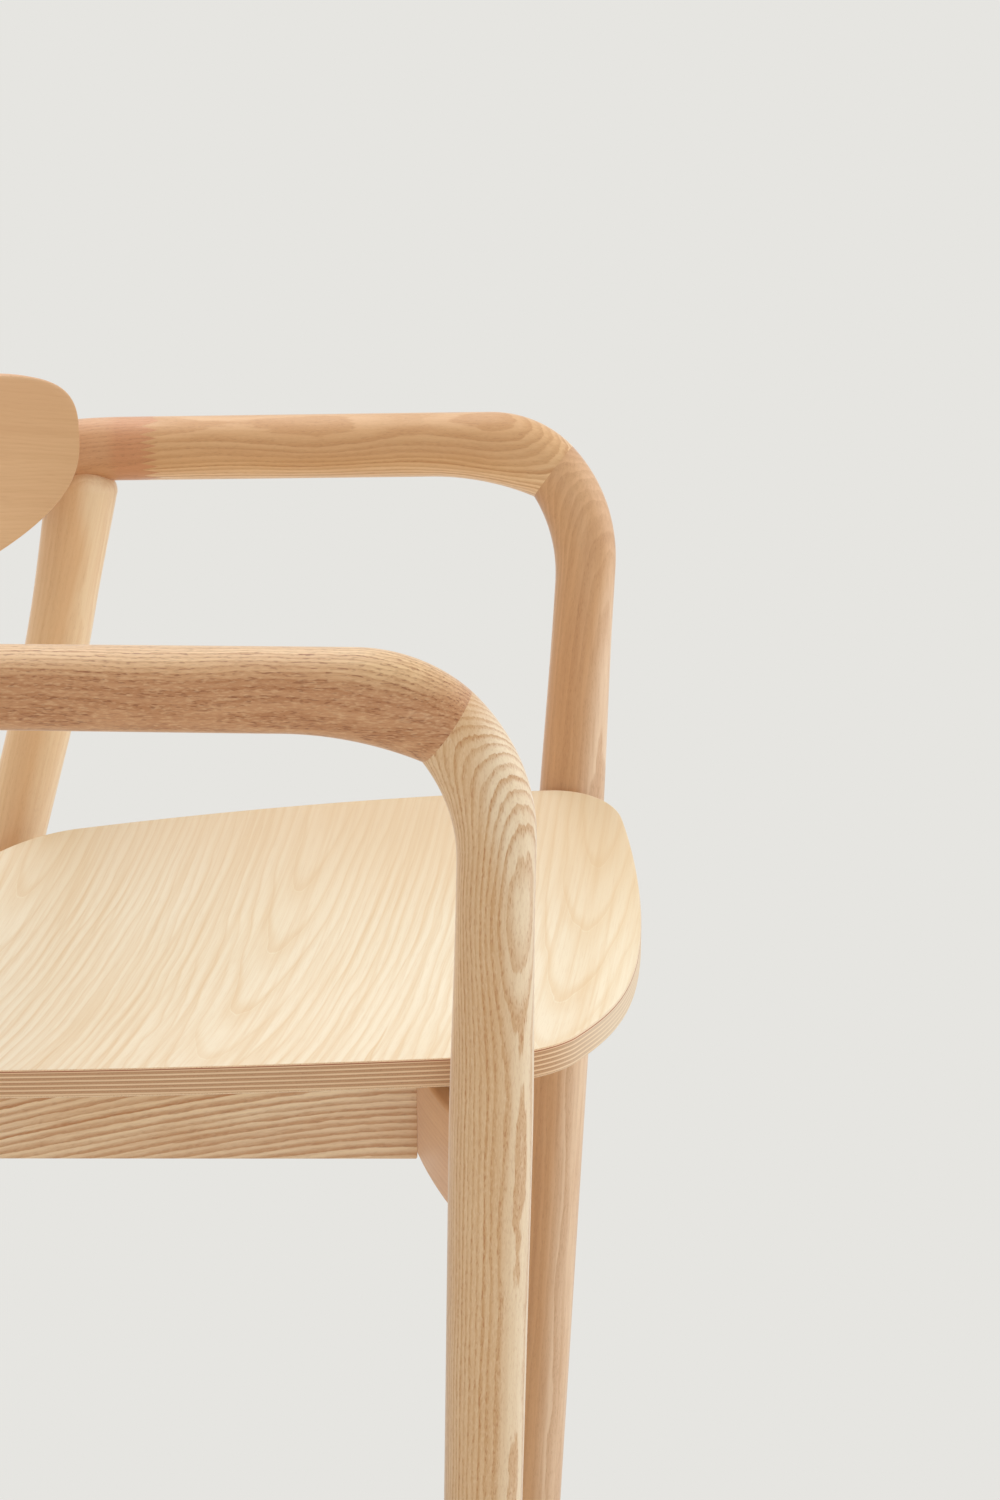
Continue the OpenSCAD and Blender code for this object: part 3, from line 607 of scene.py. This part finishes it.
def railStations():
    start = bendC + backRail["bendR"] * turnWay(toeTurn)
    run = turnWay(toeTurn + math.pi / 2)
    stations = [(start + (back - backRail["bendStart"]) * run, toeTurn)
                for back in (arm["jointAt"], arm["jointAt"] + backRail["stub"])]
    for turn in np.linspace(toeTurn, bendTurn, backRail["bendSteps"]):
        stations.append((bendC + backRail["bendR"] * turnWay(turn), turn))
    for turn in np.linspace(bendTurn, math.pi / 2, backRail["curveSteps"])[1:]:
        stations.append((np.array([0, midY]) + backRail["curveR"] * turnWay(turn), turn))
    mirrored = [(place * [-1, 1], math.pi - turn) for place, turn in stations[-2::-1]]
    return stations + mirrored


# The back panel's sizes and place, which the rail is seated for
panel = {"r": 0.320, "half": 0.216, "halfHeight": 0.0585, "square": 2.9, "lift": 0.011, "sweep": 0.009,
         "thick": 0.010, "seat": 0.0027, "arris": 0.0016, "under": 0.0016, "around": 320,
         "topRows": 26, "edgeRows": 6, "lowRows": 26, "grainFrom": (2, 0.3), "grainSlant": 0.22}
panelY = railBack - tubeR + panel["seat"] - panel["thick"] - panel["r"]
panelZ = panel["lift"] - railBack * math.tan(fallTurn)


def makeBackRail():
    rings, grain = [], []
    stations = railStations()
    up = armPlane(0, 0, 1)
    run = 0
    for k, (place, turn) in enumerate(stations):
        if k:
            run += np.linalg.norm(place - stations[k - 1][0])
        centre = armPlane(*place)
        outward = armPlane(*turnWay(turn))
        ring = ringAt(centre, -up * tubeR, -outward * tubeR, jointTurns)
        if k in (0, len(stations) - 1):
            way = np.cross(outward, -up) * (1 if k == 0 else -1)
            ring = ring + np.outer(fingerDepth((ring - centre) @ up) + arm["seam"], way)
        rings.append(ring)
        local = ring - centre
        lift = backRail["waver"] * math.sin(run * backRail["waverRate"])
        grain.append(np.stack([np.full(len(ring), run), local @ outward + backRail["pith"][0],
                               local @ up + backRail["pith"][1] + lift], -1))
    rings = np.array(rings)
    plan = rings[..., :2] - [0, panelY]
    far = np.linalg.norm(plan, axis=-1)
    seatR = panel["r"] + panel["thick"]
    inside = (far < seatR) & (np.abs(rings[..., 0]) < backRail["seatReach"])
    seated = plan * (seatR / far)[..., None] + [0, panelY]
    rings[..., :2] = np.where(inside[..., None], seated, rings[..., :2])
    return sweep("back_rail", rings, grain, 1, ash["railAsh"])


backRailPiece = makeBackRail()


# The rear legs: a rounded shoulder coped under the rail, a flare, a bend and a taper
rearLeg = {"past": 0.020, "shoulder": 0.042, "rim": 0.012, "under": 0.0375, "foot": 0.034, "rise": 0.008,
           "flare": 0.095, "rakeTop": 0.17, "rakeLow": 0.255, "bendFrom": 0.090, "bendTo": 0.170,
           "lean": 7.4, "around": 112, "steps": 96, "rimSteps": 13, "rimTurn": 84, "nearby": 0.001}
rearAt = backRail["bendStart"] + rearLeg["past"]
rearTop = np.array([corner["half"] - rearAt * math.sin(toeTurn) - backRail["bendR"]
                    + math.sqrt(backRail["bendR"] ** 2 - rearLeg["past"] ** 2),
                    rearAt, -rearAt * math.tan(fallTurn)])
leanTurn = math.radians(rearLeg["lean"])
rearLen = (legEnd + rearTop[2]) / math.cos(leanTurn)


def rearBack(s):
    bend = rearLeg["bendTo"] - rearLeg["bendFrom"]
    past = min(max(s - rearLeg["bendFrom"], 0), bend)
    return rearLeg["rakeTop"] * s + (rearLeg["rakeLow"] - rearLeg["rakeTop"]) \
        * (past ** 2 / 2 / bend + max(s - rearLeg["bendTo"], 0))


def rearAxis(s):
    return rearTop + [-s * math.sin(leanTurn), rearBack(s), -s * math.cos(leanTurn)]


def rearR(s):
    if s > rearLeg["flare"]:
        share = (s - rearLeg["flare"]) / (rearLen - rearLeg["flare"])
        return blend(rearLeg["under"], rearLeg["foot"], share) / 2
    return blend(rearLeg["shoulder"], rearLeg["under"], ease(s / rearLeg["flare"])) / 2


def makeRearLeg(name, side, ringWay, pith):
    turns = ringTurns(rearLeg["around"])
    top, near = tubeR - rearLeg["rise"], rearLeg["nearby"]
    rings = []

    def addRing(s, r):
        way = unit(rearAxis(s + near) - rearAxis(s - near))
        rings.append(crossRing(rearAxis(s), way, np.array([0, 1, 0]), r, turns))

    for turn in np.radians(np.linspace(0, rearLeg["rimTurn"], rearLeg["rimSteps"])):
        addRing(top + rearLeg["rim"] * (1 - math.cos(turn)),
                rearR(top) - rearLeg["rim"] * (1 - math.sin(turn)))
    for s in np.linspace(top + rearLeg["rim"], rearLen, rearLeg["steps"]):
        addRing(s, rearR(s))
    rings[-1] = cutLevel(rings[-1], unit(rearAxis(rearLen) - rearAxis(rearLen - near)))
    grain = boardGrain(rings, rearTop, rearAxis(rearLen) - rearTop, ringWay, pith)
    return sweep(name + "_rear_leg", rings, grain, side, ash["rearLegAsh"])


makeRearLeg("left", 1, (-0.7, -0.7, 0), (0.040, 0.01, 1.3))
makeRearLeg("right", -1, (0.6, 0.8, 0), (0.050, 0, 2.1))
print("back rail and rear legs made")


# The seat's hollow surface and outline
seat = {"halfWidth": 0.1882, "front": 0.0455, "rear": 0.370, "thick": 0.0148, "drop": 0.200, "line": 0.097,
        "slope": 0.092, "dish": 0.020, "fall": 0.0085, "fallWidth": 0.025, "frontR": 0.592, "sideR": 1.670,
        "wideAt": 0.058, "rearR": 0.420, "cornerR": 0.049, "heelR": 0.070, "arris": 0.0012, "under": 0.0016,
        "arcSteps": 26, "sideSteps": 40, "topRows": 30, "edgeRows": 8, "lowRows": 16}


def seatZ(x, y):
    low = np.maximum(seat["fallWidth"] - seat["front"] - y, 0) / seat["fallWidth"]
    return -seat["drop"] + seat["slope"] * (seat["line"] - y) \
        - seat["dish"] * (1 - (x / seat["halfWidth"]) ** 2) - seat["fall"] * low ** 2


def meet(c1, r1, c2, r2, turn):
    gap = np.linalg.norm(c2 - c1)
    run = (gap ** 2 + r1 ** 2 - r2 ** 2) / (2 * gap)
    e = (c2 - c1) / gap
    return c1 + run * e + turn * math.sqrt(r1 ** 2 - run ** 2) * np.array([-e[1], e[0]])


def arcPoints(c, r, towardsA, towardsB, count):
    a = math.atan2(*(towardsA - c)[::-1])
    b = math.atan2(*(towardsB - c)[::-1])
    return [c + r * turnWay(t) for t in np.linspace(a, b, count, endpoint=False)]


def seatOutline():
    steps = seat["arcSteps"]
    frontC = np.array([0, seat["frontR"] - seat["front"]])
    sideC = np.array([seat["halfWidth"] - seat["sideR"], seat["wideAt"]])
    rearC = np.array([0, seat["rear"] - seat["rearR"]])
    cornerC = meet(sideC, seat["sideR"] - seat["cornerR"], frontC, seat["frontR"] - seat["cornerR"], -1)
    heelC = meet(sideC, seat["sideR"] - seat["heelR"], rearC, seat["rearR"] - seat["heelR"], 1)
    half = arcPoints(frontC, seat["frontR"], frontC - [0, 1], cornerC, steps)
    half += arcPoints(cornerC, seat["cornerR"], 2 * cornerC - frontC, 2 * cornerC - sideC, steps)
    half += arcPoints(sideC, seat["sideR"], cornerC, heelC, seat["sideSteps"])
    half += arcPoints(heelC, seat["heelR"], 2 * heelC - sideC, 2 * heelC - rearC, steps)
    half += arcPoints(rearC, seat["rearR"], heelC, rearC + [0, 1], steps)
    half = np.array(half + [rearC + [0, seat["rearR"]]])
    return np.concatenate([half, half[-2:0:-1] * [-1, 1]])


# Plan normals of a closed outline that runs counter-clockwise
def outlineNormals(outline):
    run = np.roll(outline, -1, 0) - np.roll(outline, 1, 0)
    normal = np.stack([run[:, 1], -run[:, 0]], -1)
    return normal / np.linalg.norm(normal, axis=1)[:, None]


# A moulded sheet: rows of its outline from the middle of the top over the rounded arris and the edge
# to the middle below. Its own rule bends each row and gives the grain
sheet = {"innermost": 0.03, "outermost": 0.97, "roundRows": 6, "edgeFrom": 2}


def makeSheet(name, look, outline, centre, bendRow, materials, replaced):
    normals = outlineNormals(outline)
    arris, under, thick = look["arris"], look["under"], look["thick"]
    inner, outer = sheet["innermost"], sheet["outermost"]
    quarter = np.radians(np.linspace(0, 90, sheet["roundRows"]))
    plans = [(centre + (outline - centre) * share, 0) for share in np.linspace(inner, outer, look["topRows"])]
    plans += [(outline - normals * arris * (1 - math.sin(turn)), arris * (1 - math.cos(turn)))
              for turn in quarter]
    plans += [(outline, depth) for depth in np.linspace(arris, thick - under, look["edgeRows"])[1:]]
    plans += [(outline - normals * under * (1 - math.cos(turn)), thick - under * (1 - math.sin(turn)))
              for turn in quarter[1:]]
    plans += [(centre + (outline - centre) * share, thick)
              for share in np.linspace(outer, inner, look["lowRows"])]
    rows, grain = np.array([bendRow(*plan.T, depth) for plan, depth in plans]).swapaxes(0, 1)
    count = rows.shape[1]
    points = np.concatenate([rows.reshape(-1, 3), rows[0].mean(0)[None], rows[-1].mean(0)[None]])
    grains = np.concatenate([grain.reshape(-1, 3), grain[0].mean(0)[None], grain[-1].mean(0)[None]])
    first = look["topRows"] + sheet["edgeFrom"]
    past = first + sheet["roundRows"] + look["edgeRows"] - 1
    corners = wallCorners(len(rows), count)
    faces = [(a, a + count, b + count, b) for a, b in corners]
    which = [int(first <= a // count < past) for a, b in corners] + [0] * 2 * count
    last, topAt, lowAt = (len(rows) - 1) * count, len(rows) * count, len(rows) * count + 1
    for i in range(count):
        faces += [(topAt, i, (i + 1) % count), (lowAt, last + (i + 1) % count, last + i)]
    return makePiece(name, points, faces, grains, materials, which, replaced)


def makeSeat():
    def bendRow(x, y, depth):
        return np.stack([x, y, seatZ(x, y) - depth], -1), np.stack([x, y, np.full(len(x), depth)], -1)

    centre = np.array([0, (seat["rear"] - seat["front"]) / 2])
    makeSheet("seat", seat, seatOutline(), centre, bendRow, [veneer["seatVeneer"], plyEdge["seatPlyEdge"]],
              ["seat_top_veneer", "seat_core", "seat_bottom_veneer"])


# The back panel: a rounded oblong, bent round an upright axis
def makePanel():
    turns = np.linspace(0, 2 * math.pi, panel["around"] + 1)[:-1]
    f = np.cos(turns)
    height = panel["halfHeight"] * np.maximum(1 - np.abs(f) ** panel["square"], 0) ** (1 / panel["square"])
    outline = np.stack([f * panel["half"], height * np.sign(np.sin(turns))], -1)

    def bendRow(x, y, depth):
        rise = y + panel["sweep"] * (x / panel["half"]) ** 4
        turn = x / panel["r"]
        r = panel["r"] + depth
        grain = np.stack([x + panel["grainFrom"][0], rise + panel["grainFrom"][1] + panel["grainSlant"] * x,
                          np.full(len(x), depth)], -1)
        return np.stack([r * np.sin(turn), panelY + r * np.cos(turn), panelZ + rise], -1), grain

    makeSheet("back_panel", panel, outline, np.zeros(2), bendRow,
              [veneer["panelVeneer"], plyEdge["panelPlyEdge"]],
              ["panel_front_veneer", "panel_core", "panel_rear_veneer"])


makeSeat()
makePanel()
print("seat and back panel made")


# The rails under the seat: one rounded section carried along each, its top hollowed to the seat
rails = {"frontHigh": 0.049, "frontThick": 0.026, "frontR": 0.420, "sideInset": 0.0505, "sideThick": 0.024,
         "sideHigh": 0.0485, "sideRearHigh": 0.0375, "rearHigh": 0.036, "rearThick": 0.024, "round": 0.0022,
         "gap": 0.0001, "frontIn": 0.004, "rearIn": 0.006, "endRound": 0.0004, "roundSteps": 7,
         "frontSteps": 96, "steps": 60, "screwAt": 0.075}
sideHalf = seat["halfWidth"] - rails["sideInset"]
sideX = sideHalf - rails["sideThick"] / 2


def railTop(x, y):
    return seatZ(np.minimum(np.abs(x), sideX), y) - seat["thick"] - rails["gap"]


# Corner points of a rounded rectangle, counter-clockwise from the right
def roundedSection(halfA, halfB, r):
    points = []
    for k, (a, b) in enumerate(((1, 1), (-1, 1), (-1, -1), (1, -1))):
        for turn in np.radians(np.linspace(0, 90, rails["roundSteps"])) + k * math.pi / 2:
            points.append(((halfA - r) * a + r * math.cos(turn), (halfB - r) * b + r * math.sin(turn)))
    return np.array(points)


# A rail's rings: places along it, the sideways direction and the lowest level, each one or many
def railRings(x, y, sideways, lows, thick):
    rings = []
    places = np.stack(np.broadcast_arrays(x, y), -1)
    for place, across, low in zip(places, np.broadcast_to(sideways, places.shape),
                                  np.broadcast_to(lows, len(places))):
        plan = place + np.array([[-1], [1]]) * thick / 2 * across
        top = railTop(plan[:, 0], plan[:, 1])
        high = top.mean() - low
        section = roundedSection(thick / 2, high / 2, rails["round"])
        tilt = (top[1] - top[0]) * (section[:, 0] / thick) * (section[:, 1] / high + 0.5)
        xy = place + section[:, :1] * across
        rings.append(np.column_stack([xy, (top.mean() + low) / 2 + section[:, 1] + tilt]))
    return np.array(rings)


# Rails keep their own grain: run along the rail, the pith off to one side, and rising by skew(run)
def makeRail(name, rings, skew, pith, side, material):
    centres = rings.mean(1)
    run = np.concatenate([[0], np.linalg.norm(np.diff(centres, axis=0), axis=1).cumsum()])[:, None]
    local = rings - centres[:, None]
    out = np.hypot(local[..., 0], local[..., 1]) * np.sign(local[..., 0] + local[..., 1] * 0.01)
    high = rings[..., 2] - rings[..., 2].mean()
    grain = np.stack([np.broadcast_to(run, out.shape) + pith[2], out + pith[0],
                      high + pith[1] + skew(run)], -1)
    return sweep(name, rings, grain, side, material)


frontDepth = rails["frontHigh"] / 2 - railTop(sideX, frontLeg["full"])
frontEnd = legAxis(frontDepth)
frontMidR = rails["frontR"] - rails["frontThick"] / 2
frontC = frontEnd[1] - math.sqrt(frontMidR ** 2 - frontEnd[0] ** 2)
rearDepth = (rearTop[2] + rails["rearHigh"] / 2 + seat["thick"] - seatZ(0, seat["rear"])) / math.cos(leanTurn)
rearEnd = rearAxis(rearDepth)
sideFrom = frontC + math.sqrt(rails["frontR"] ** 2 - sideHalf ** 2)
sideTo = rearEnd[1] - rails["rearThick"] / 2 - rails["gap"]


def makeFrontRail():
    endTurn = math.asin((frontEnd[0] - rails["frontIn"]) / frontMidR)
    turns = np.linspace(-endTurn, endTurn, rails["frontSteps"])
    outward = np.stack([np.sin(turns), np.cos(turns)], -1)
    x, y = outward.T * frontMidR
    rings = railRings(x, y + frontC, outward, -frontDepth - rails["frontHigh"] / 2, rails["frontThick"])
    makeRail("front_cross_rail", rings, lambda run: 0.05 * run, (0.02, 0.05, 3), 1, ash["frontRailAsh"])


def makeRearRail():
    end = rearEnd[0] - rails["rearIn"]
    x = np.linspace(-end, end, rails["steps"])
    low = railTop(0, rearEnd[1] + rails["rearThick"] / 2) - rails["rearHigh"]
    rings = railRings(x, rearEnd[1], (0, 1), low, rails["rearThick"])
    makeRail("rear_cross_rail", rings, lambda run: -0.03 * run, (0.03, 0.05, 5), 1, ash["railAsh"])


def makeSideRail(name, side, material, skew, pith):
    inset = rails["endRound"]
    y = np.concatenate([[sideFrom], np.linspace(sideFrom + inset, sideTo - inset, rails["steps"]), [sideTo]])
    high = blend(rails["sideHigh"], rails["sideRearHigh"], (y - sideFrom) / (sideTo - sideFrom))
    low = railTop(sideHalf - rails["sideThick"], y) - high
    rings = railRings(sideX, y, (1, 0), low, rails["sideThick"])
    reach = frontC + np.sqrt((rails["frontR"] + rails["gap"]) ** 2 - rings[..., 0] ** 2)
    for k in (0, -1):
        rings[k] = rings[k].mean(0) + (rings[k] - rings[k].mean(0)) * (1 - inset / rails["sideThick"])
    rings[..., 1] = reach + (rings[..., 1] - sideFrom) * (sideTo - reach) / (sideTo - sideFrom)
    makeRail(name + "_side_rail", rings[:, ::-1], skew, pith, side, material)


makeFrontRail()
makeRearRail()
makeSideRail("left", 1, ash["farArmAsh"], lambda run: 0.04 * run, (0.03, 0.02, 7))
makeSideRail("right", -1, ash["sideRailAsh"], lambda run: 0.3 * run + 0.0175 * np.exp(-run / 0.07),
             (0.012, 0.090, 8))
print("seat rails made")


# Finishes of the small fittings
def makeSteel(name):
    s = paint(name)
    scratch = s.noise(s.place(), (900, 900, 60), 3.0)
    spots = s.noise(s.place(), (400, 400, 400))
    base = s.mix(s.step(spots, 0.4, 0.7), tint(176, 177, 179), tint(152, 153, 156))
    return s.finish({"Base Color": base, "Metallic": 1.0, "Roughness": 0.28 + scratch * 0.2}, scratch,
                    0.00005, 0.2)


def makeNylon(name):
    s = paint(name)
    grit = s.noise(s.place(), (1800, 1800, 1800))
    scuff = s.step(s.noise(s.place(), (150, 150, 150), 3.0), 0.5, 0.75)
    base = s.mix(scuff * 0.5, tint(206, 203, 194), tint(184, 180, 170))
    return s.finish({"Base Color": base, "Roughness": 0.48 + scuff * 0.2}, grit, 0.00008, 0.3)


def makeEndWood(name, pale, dark):
    s = paint(name)
    pores = s.noise(s.place(), (2200, 2200, 2200))
    lines = s.noise(s.place(), (260, 260, 900))
    base = s.mix(s.step(lines, 0.35, 0.7), pale, dark)
    base = s.mix(s.step(pores, 0.56, 0.72) * 0.6, base, dark)
    return s.finish({"Base Color": base, "Roughness": 0.55 + lines * 0.1}, 1 - pores, 0.0001, 0.3)


finishes = {"steel": makeSteel("screwSteel"), "nylon": makeNylon("glideNylon"),
            "endAsh": makeEndWood("plugEndAsh", tint(216, 172, 128), tint(178, 128, 86)),
            "beech": makeEndWood("dowelBeech", tint(214, 174, 134), tint(186, 140, 100))}
for node in ("mitre_dowels", "shoulder_dowels", "front_rail_dowels", "rear_rail_dowels", "side_rail_dowels"):
    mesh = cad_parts[node].data
    mesh.materials.clear()
    mesh.materials.append(finishes["beech"])

# Turned fittings: shares of the radius and of the height, from the middle of the outer face round to the
# inner end, and how far each point belongs to the six-sided socket
screw = {"radius": 0.0045, "height": 0.0325, "grip": 0.022, "head": 0.0035,
         "panelAt": (0.028, 0.078), "lift": 0.011,
         "profile": [(0, 0.062, 1), (0.40, 0.062, 1), (0.42, 0.008, 1), (0.47, 0, 1), (0.88, 0, 0),
                     (0.96, 0.008, 0), (1, 0.028, 0), (1, 0.1077, 0), (0.5556, 0.1077, 0), (0.5556, 0.94, 0),
                     (0.3, 1, 0), (0, 1, 0)]}
glide = {"radius": 0.012, "height": 0.019,
         "profile": [(0, 0, 0), (0.78, 0, 0), (0.90, 0.012, 0), (0.97, 0.038, 0), (1, 0.075, 0), (1, 0.12, 0),
                     (0.975, 0.14, 0), (0.93, 0.1579, 0), (0.2083, 0.1579, 0), (0.2083, 0.96, 0),
                     (0.15, 1, 0), (0, 1, 0)]}
plug = {"radius": 0.0045, "height": 0.0012, "proud": 0.00012, "above": 0.5,
        "profile": [(0, 0, 0), (0.5, 0.01, 0), (0.93, 0.03, 0), (0.985, 0.08, 0), (1, 0.2, 0), (1, 1, 0),
                    (0, 1, 0)]}
turned = {"around": 48, "weld": 0.000004}


# A group that turns a profile into a closed shape and sets one on each point, along the point's facing
def makeTurnedGroup(name, look, material):
    group = bpy.data.node_groups.new(name, "GeometryNodeTree")
    ids = {}
    for title, kind in (("Places", "NodeSocketGeometry"), ("Radius", "NodeSocketFloat"),
                        ("Height", "NodeSocketFloat"), ("Around", "NodeSocketInt")):
        ids[title] = group.interface.new_socket(title, in_out="INPUT", socket_type=kind).identifier
    group.interface.new_socket("Fittings", in_out="OUTPUT", socket_type="NodeSocketGeometry")
    s = Nodes(group)
    given = dict(zip(ids, s.outputs("NodeGroupInput", {}, {})))
    rows = len(look["profile"])
    grid = s.term("GeometryNodeMeshGrid", {}, {"Size X": 1.0, "Size Y": 1.0, "Vertices Y": rows,
                                               "Vertices X": given["Around"] + 1.0})
    x, y, _ = s.split(s.term("GeometryNodeInputPosition", {}, {}))
    turn = (x + 0.5) * (2 * math.pi)
    downProfile = y + 0.5

    def shareCurve(index):
        made = s.node("ShaderNodeFloatCurve", {}, {"Value": downProfile})
        line = made.mapping.curves[0]
        while len(line.points) < rows:
            line.points.new(0.5, 0.5)
        for k, row in enumerate(look["profile"]):
            line.points[k].location = (k / (rows - 1), row[index])
            line.points[k].handle_type = "VECTOR"
        made.mapping.update()
        return Term(s, made.outputs[0])

    sixth = s.calc("FLOORED_MODULO", turn, math.pi / 3) - math.pi / 6
    hexagon = math.cos(math.pi / 6) / s.calc("COSINE", sixth)
    out = shareCurve(0) * (1 + shareCurve(2) * (hexagon - 1)) * given["Radius"]
    down = shareCurve(1) * given["Height"] * -1
    place = s.term("ShaderNodeCombineXYZ", {}, {0: out * s.calc("COSINE", turn),
                                                1: out * s.calc("SINE", turn), 2: down})
    shaped = s.term("GeometryNodeSetPosition", {}, {"Geometry": grid, "Position": place})
    closed = s.term("GeometryNodeMergeByDistance", {}, {"Geometry": shaped, "Distance": turned["weld"]})
    flipped = s.term("GeometryNodeFlipFaces", {}, {0: closed})
    facing = s.term("GeometryNodeInputNamedAttribute", {"data_type": "FLOAT_VECTOR"}, {"Name": "facing"})
    aligned = s.term("FunctionNodeAlignRotationToVector", {"axis": "Z"}, {"Vector": facing})
    points = s.term("GeometryNodeMeshToPoints", {}, {"Mesh": given["Places"]})
    copies = s.term("GeometryNodeInstanceOnPoints", {},
                    {"Points": points, "Instance": flipped, "Rotation": aligned})
    real = s.term("GeometryNodeRealizeInstances", {}, {0: copies})
    dressed = s.term("GeometryNodeSetMaterial", {}, {"Geometry": real, "Material": material})
    s.node("NodeGroupOutput", {}, {0: dressed})
    return group, ids


def makeFittings(name, look, material, places, facings):
    group, ids = makeTurnedGroup(name + "Group", look, material)
    marks = bpy.data.meshes.new(name + "Places")
    marks.from_pydata([tuple(Vector(p) + Vector(middle)) for p in places], [], [])
    marks.attributes.new("facing", "FLOAT_VECTOR", "POINT").data.foreach_set("vector", np.ravel(facings))
    holder = bpy.data.objects.new(name + "Places", marks)
    scene.collection.objects.link(holder)
    modifier = holder.modifiers.new(name, "NODES")
    modifier.node_group = group
    sizes = {"Radius": look["radius"], "Height": look["height"], "Around": turned["around"]}
    for title, size in sizes.items():
        modifier[ids[title]] = size
    ready = holder.evaluated_get(bpy.context.evaluated_depsgraph_get())
    mesh = bpy.data.meshes.new_from_object(ready)
    holder.modifiers.clear()
    bpy.data.objects.remove(holder)
    return finishPiece(name, mesh, [name.replace("fitted_", "")])


downWay = (0, 0, -1)
feet = [(side * axis[0], axis[1], -corner["height"]) for side in (-1, 1)
        for axis in (legAxis(legEnd), rearAxis(rearLen))]
makeFittings("fitted_foot_glides", glide, finishes["nylon"], feet, [downWay] * len(feet))

# The seat's screws: two in each cross rail and one in each side rail
screwPlaces = [(side * x, y) for side in (-1, 1) for x, y in
               ((rails["screwAt"], frontC + math.sqrt(frontMidR ** 2 - rails["screwAt"] ** 2)),
                (rails["screwAt"], rearEnd[1]), (sideX, (sideFrom + sideTo) / 2))]
makeFittings("fitted_seat_screws", screw, finishes["steel"],
             [(x, y, seatZ(x, y) - seat["thick"] - screw["grip"] - screw["head"]) for x, y in screwPlaces],
             [downWay] * len(screwPlaces))

panelTurns = [side * math.asin(x / panel["r"]) for side in (-1, 1) for x in screw["panelAt"]]
outWays = [(math.sin(turn), math.cos(turn), 0) for turn in panelTurns]
screwHigh = panelZ - screw["lift"]
headR = panel["r"] + panel["thick"] + screw["grip"] + screw["head"]
makeFittings("fitted_panel_screws", screw, finishes["steel"],
             [(headR * way[0], panelY + headR * way[1], screwHigh) for way in outWays], outWays)

# Plugs stand a hair proud where their line leaves the back of the rail
railTree = BVHTree.FromPolygons([v.co for v in backRailPiece.data.vertices],
                                [tuple(f.vertices) for f in backRailPiece.data.polygons])
plugPlaces, plugWays = [], []
for way in outWays:
    start = Vector((0, panelY, screwHigh)) + Vector(way) * plug["above"] + Vector(middle)
    hit, normal, _, _ = railTree.ray_cast(start, -Vector(way))
    plugPlaces.append(hit + normal * plug["proud"] - Vector(middle))
    plugWays.append(normal)
makeFittings("fitted_panel_plugs", plug, finishes["endAsh"], plugPlaces, plugWays)
print("fittings made")


# Floor and light: a pale floor whose colour is the photograph's plain ground
stage = {"ground": tint(230, 229, 225), "shown": tint(221, 222, 221), "plainAt": (0.07, 0.135),
         "plainRound": (0.6, 1.0), "shadeLeft": (0.10, 0.20), "reach": 60,
         "plainSlant": 0.111, "shadeSlant": 0.287,
         "worldTint": (1.0, 0.985, 0.96, 1), "worldLight": 0.63, "lampsAim": (0, 0, 0.45)}


def makeFloor():
    s = paint("floorPaint")
    x, y, _ = s.split(s.place())
    away = s.term("ShaderNodeVectorMath", {"operation": "LENGTH"}, {0: s.place()}, 1)
    beyond = s.step(x + y * stage["plainSlant"], *stage["plainAt"]) \
        * (1 - s.step(y - x * stage["shadeSlant"], *stage["shadeLeft"]))
    plain = s.calc("MAXIMUM", beyond, s.step(away, *stage["plainRound"]))
    path = s.outputs("ShaderNodeLightPath", {}, {})
    seen = s.calc("MAXIMUM", path[0], s.calc("MAXIMUM", path[3], path[6]))
    shown = s.mix(seen, stage["ground"], stage["shown"])
    diffuse = s.term("ShaderNodeBsdfDiffuse", {}, {"Color": shown})
    glow = s.term("ShaderNodeEmission", {}, {"Color": stage["ground"], "Strength": 1.0})
    surface = s.term("ShaderNodeMixShader", {}, {0: seen * plain, 1: diffuse, 2: glow})
    s.node("ShaderNodeOutputMaterial", {}, {"Surface": surface})
    mesh = bpy.data.meshes.new("floor")
    corners = [(x * stage["reach"], y * stage["reach"], 0) for x, y in ((-1, -1), (1, -1), (1, 1), (-1, 1))]
    mesh.from_pydata(corners, [], [(0, 1, 2, 3)])
    mesh.materials.append(s.owner)
    made = bpy.data.objects.new("floor", mesh)
    scene.collection.objects.link(made)


def makeWorld():
    scene.world = bpy.data.worlds.new("softStudio")
    s = Nodes(scene.world)
    path = s.outputs("ShaderNodeLightPath", {}, {})
    plain = s.term("ShaderNodeBackground", {}, {0: stage["worldTint"], 1: stage["worldLight"]})
    seen = s.term("ShaderNodeBackground", {}, {0: stage["ground"]})
    mixed = s.term("ShaderNodeMixShader", {}, {0: s.calc("MAXIMUM", path[0], path[3]), 1: plain, 2: seen})
    s.node("ShaderNodeOutputWorld", {}, {0: mixed})


lamps = {"frontSoftbox": {"place": (1.0, -2.6, 1.2), "size": 2.4, "power": 34, "tint": (1, 0.99, 0.97)},
         "topSoftbox": {"place": (0.95, 0.75, 2.75), "size": 2.4, "power": 42, "tint": (1, 0.99, 0.975)},
         "lowFill": {"place": (-2.2, -0.6, 0.2), "size": 1.8, "power": 10, "tint": (1, 0.92, 0.84)}}


def makeLamps():
    for name, look in lamps.items():
        data = bpy.data.lights.new(name, "AREA")
        data.size = look["size"]
        data.energy = look["power"]
        data.color = look["tint"]
        made = bpy.data.objects.new(name, data)
        made.location = look["place"]
        aim = Vector(stage["lampsAim"]) - made.location
        made.rotation_euler = aim.to_track_quat("-Z", "Y").to_euler()
        scene.collection.objects.link(made)


makeFloor()
makeWorld()
makeLamps()
print("floor and lamps made")
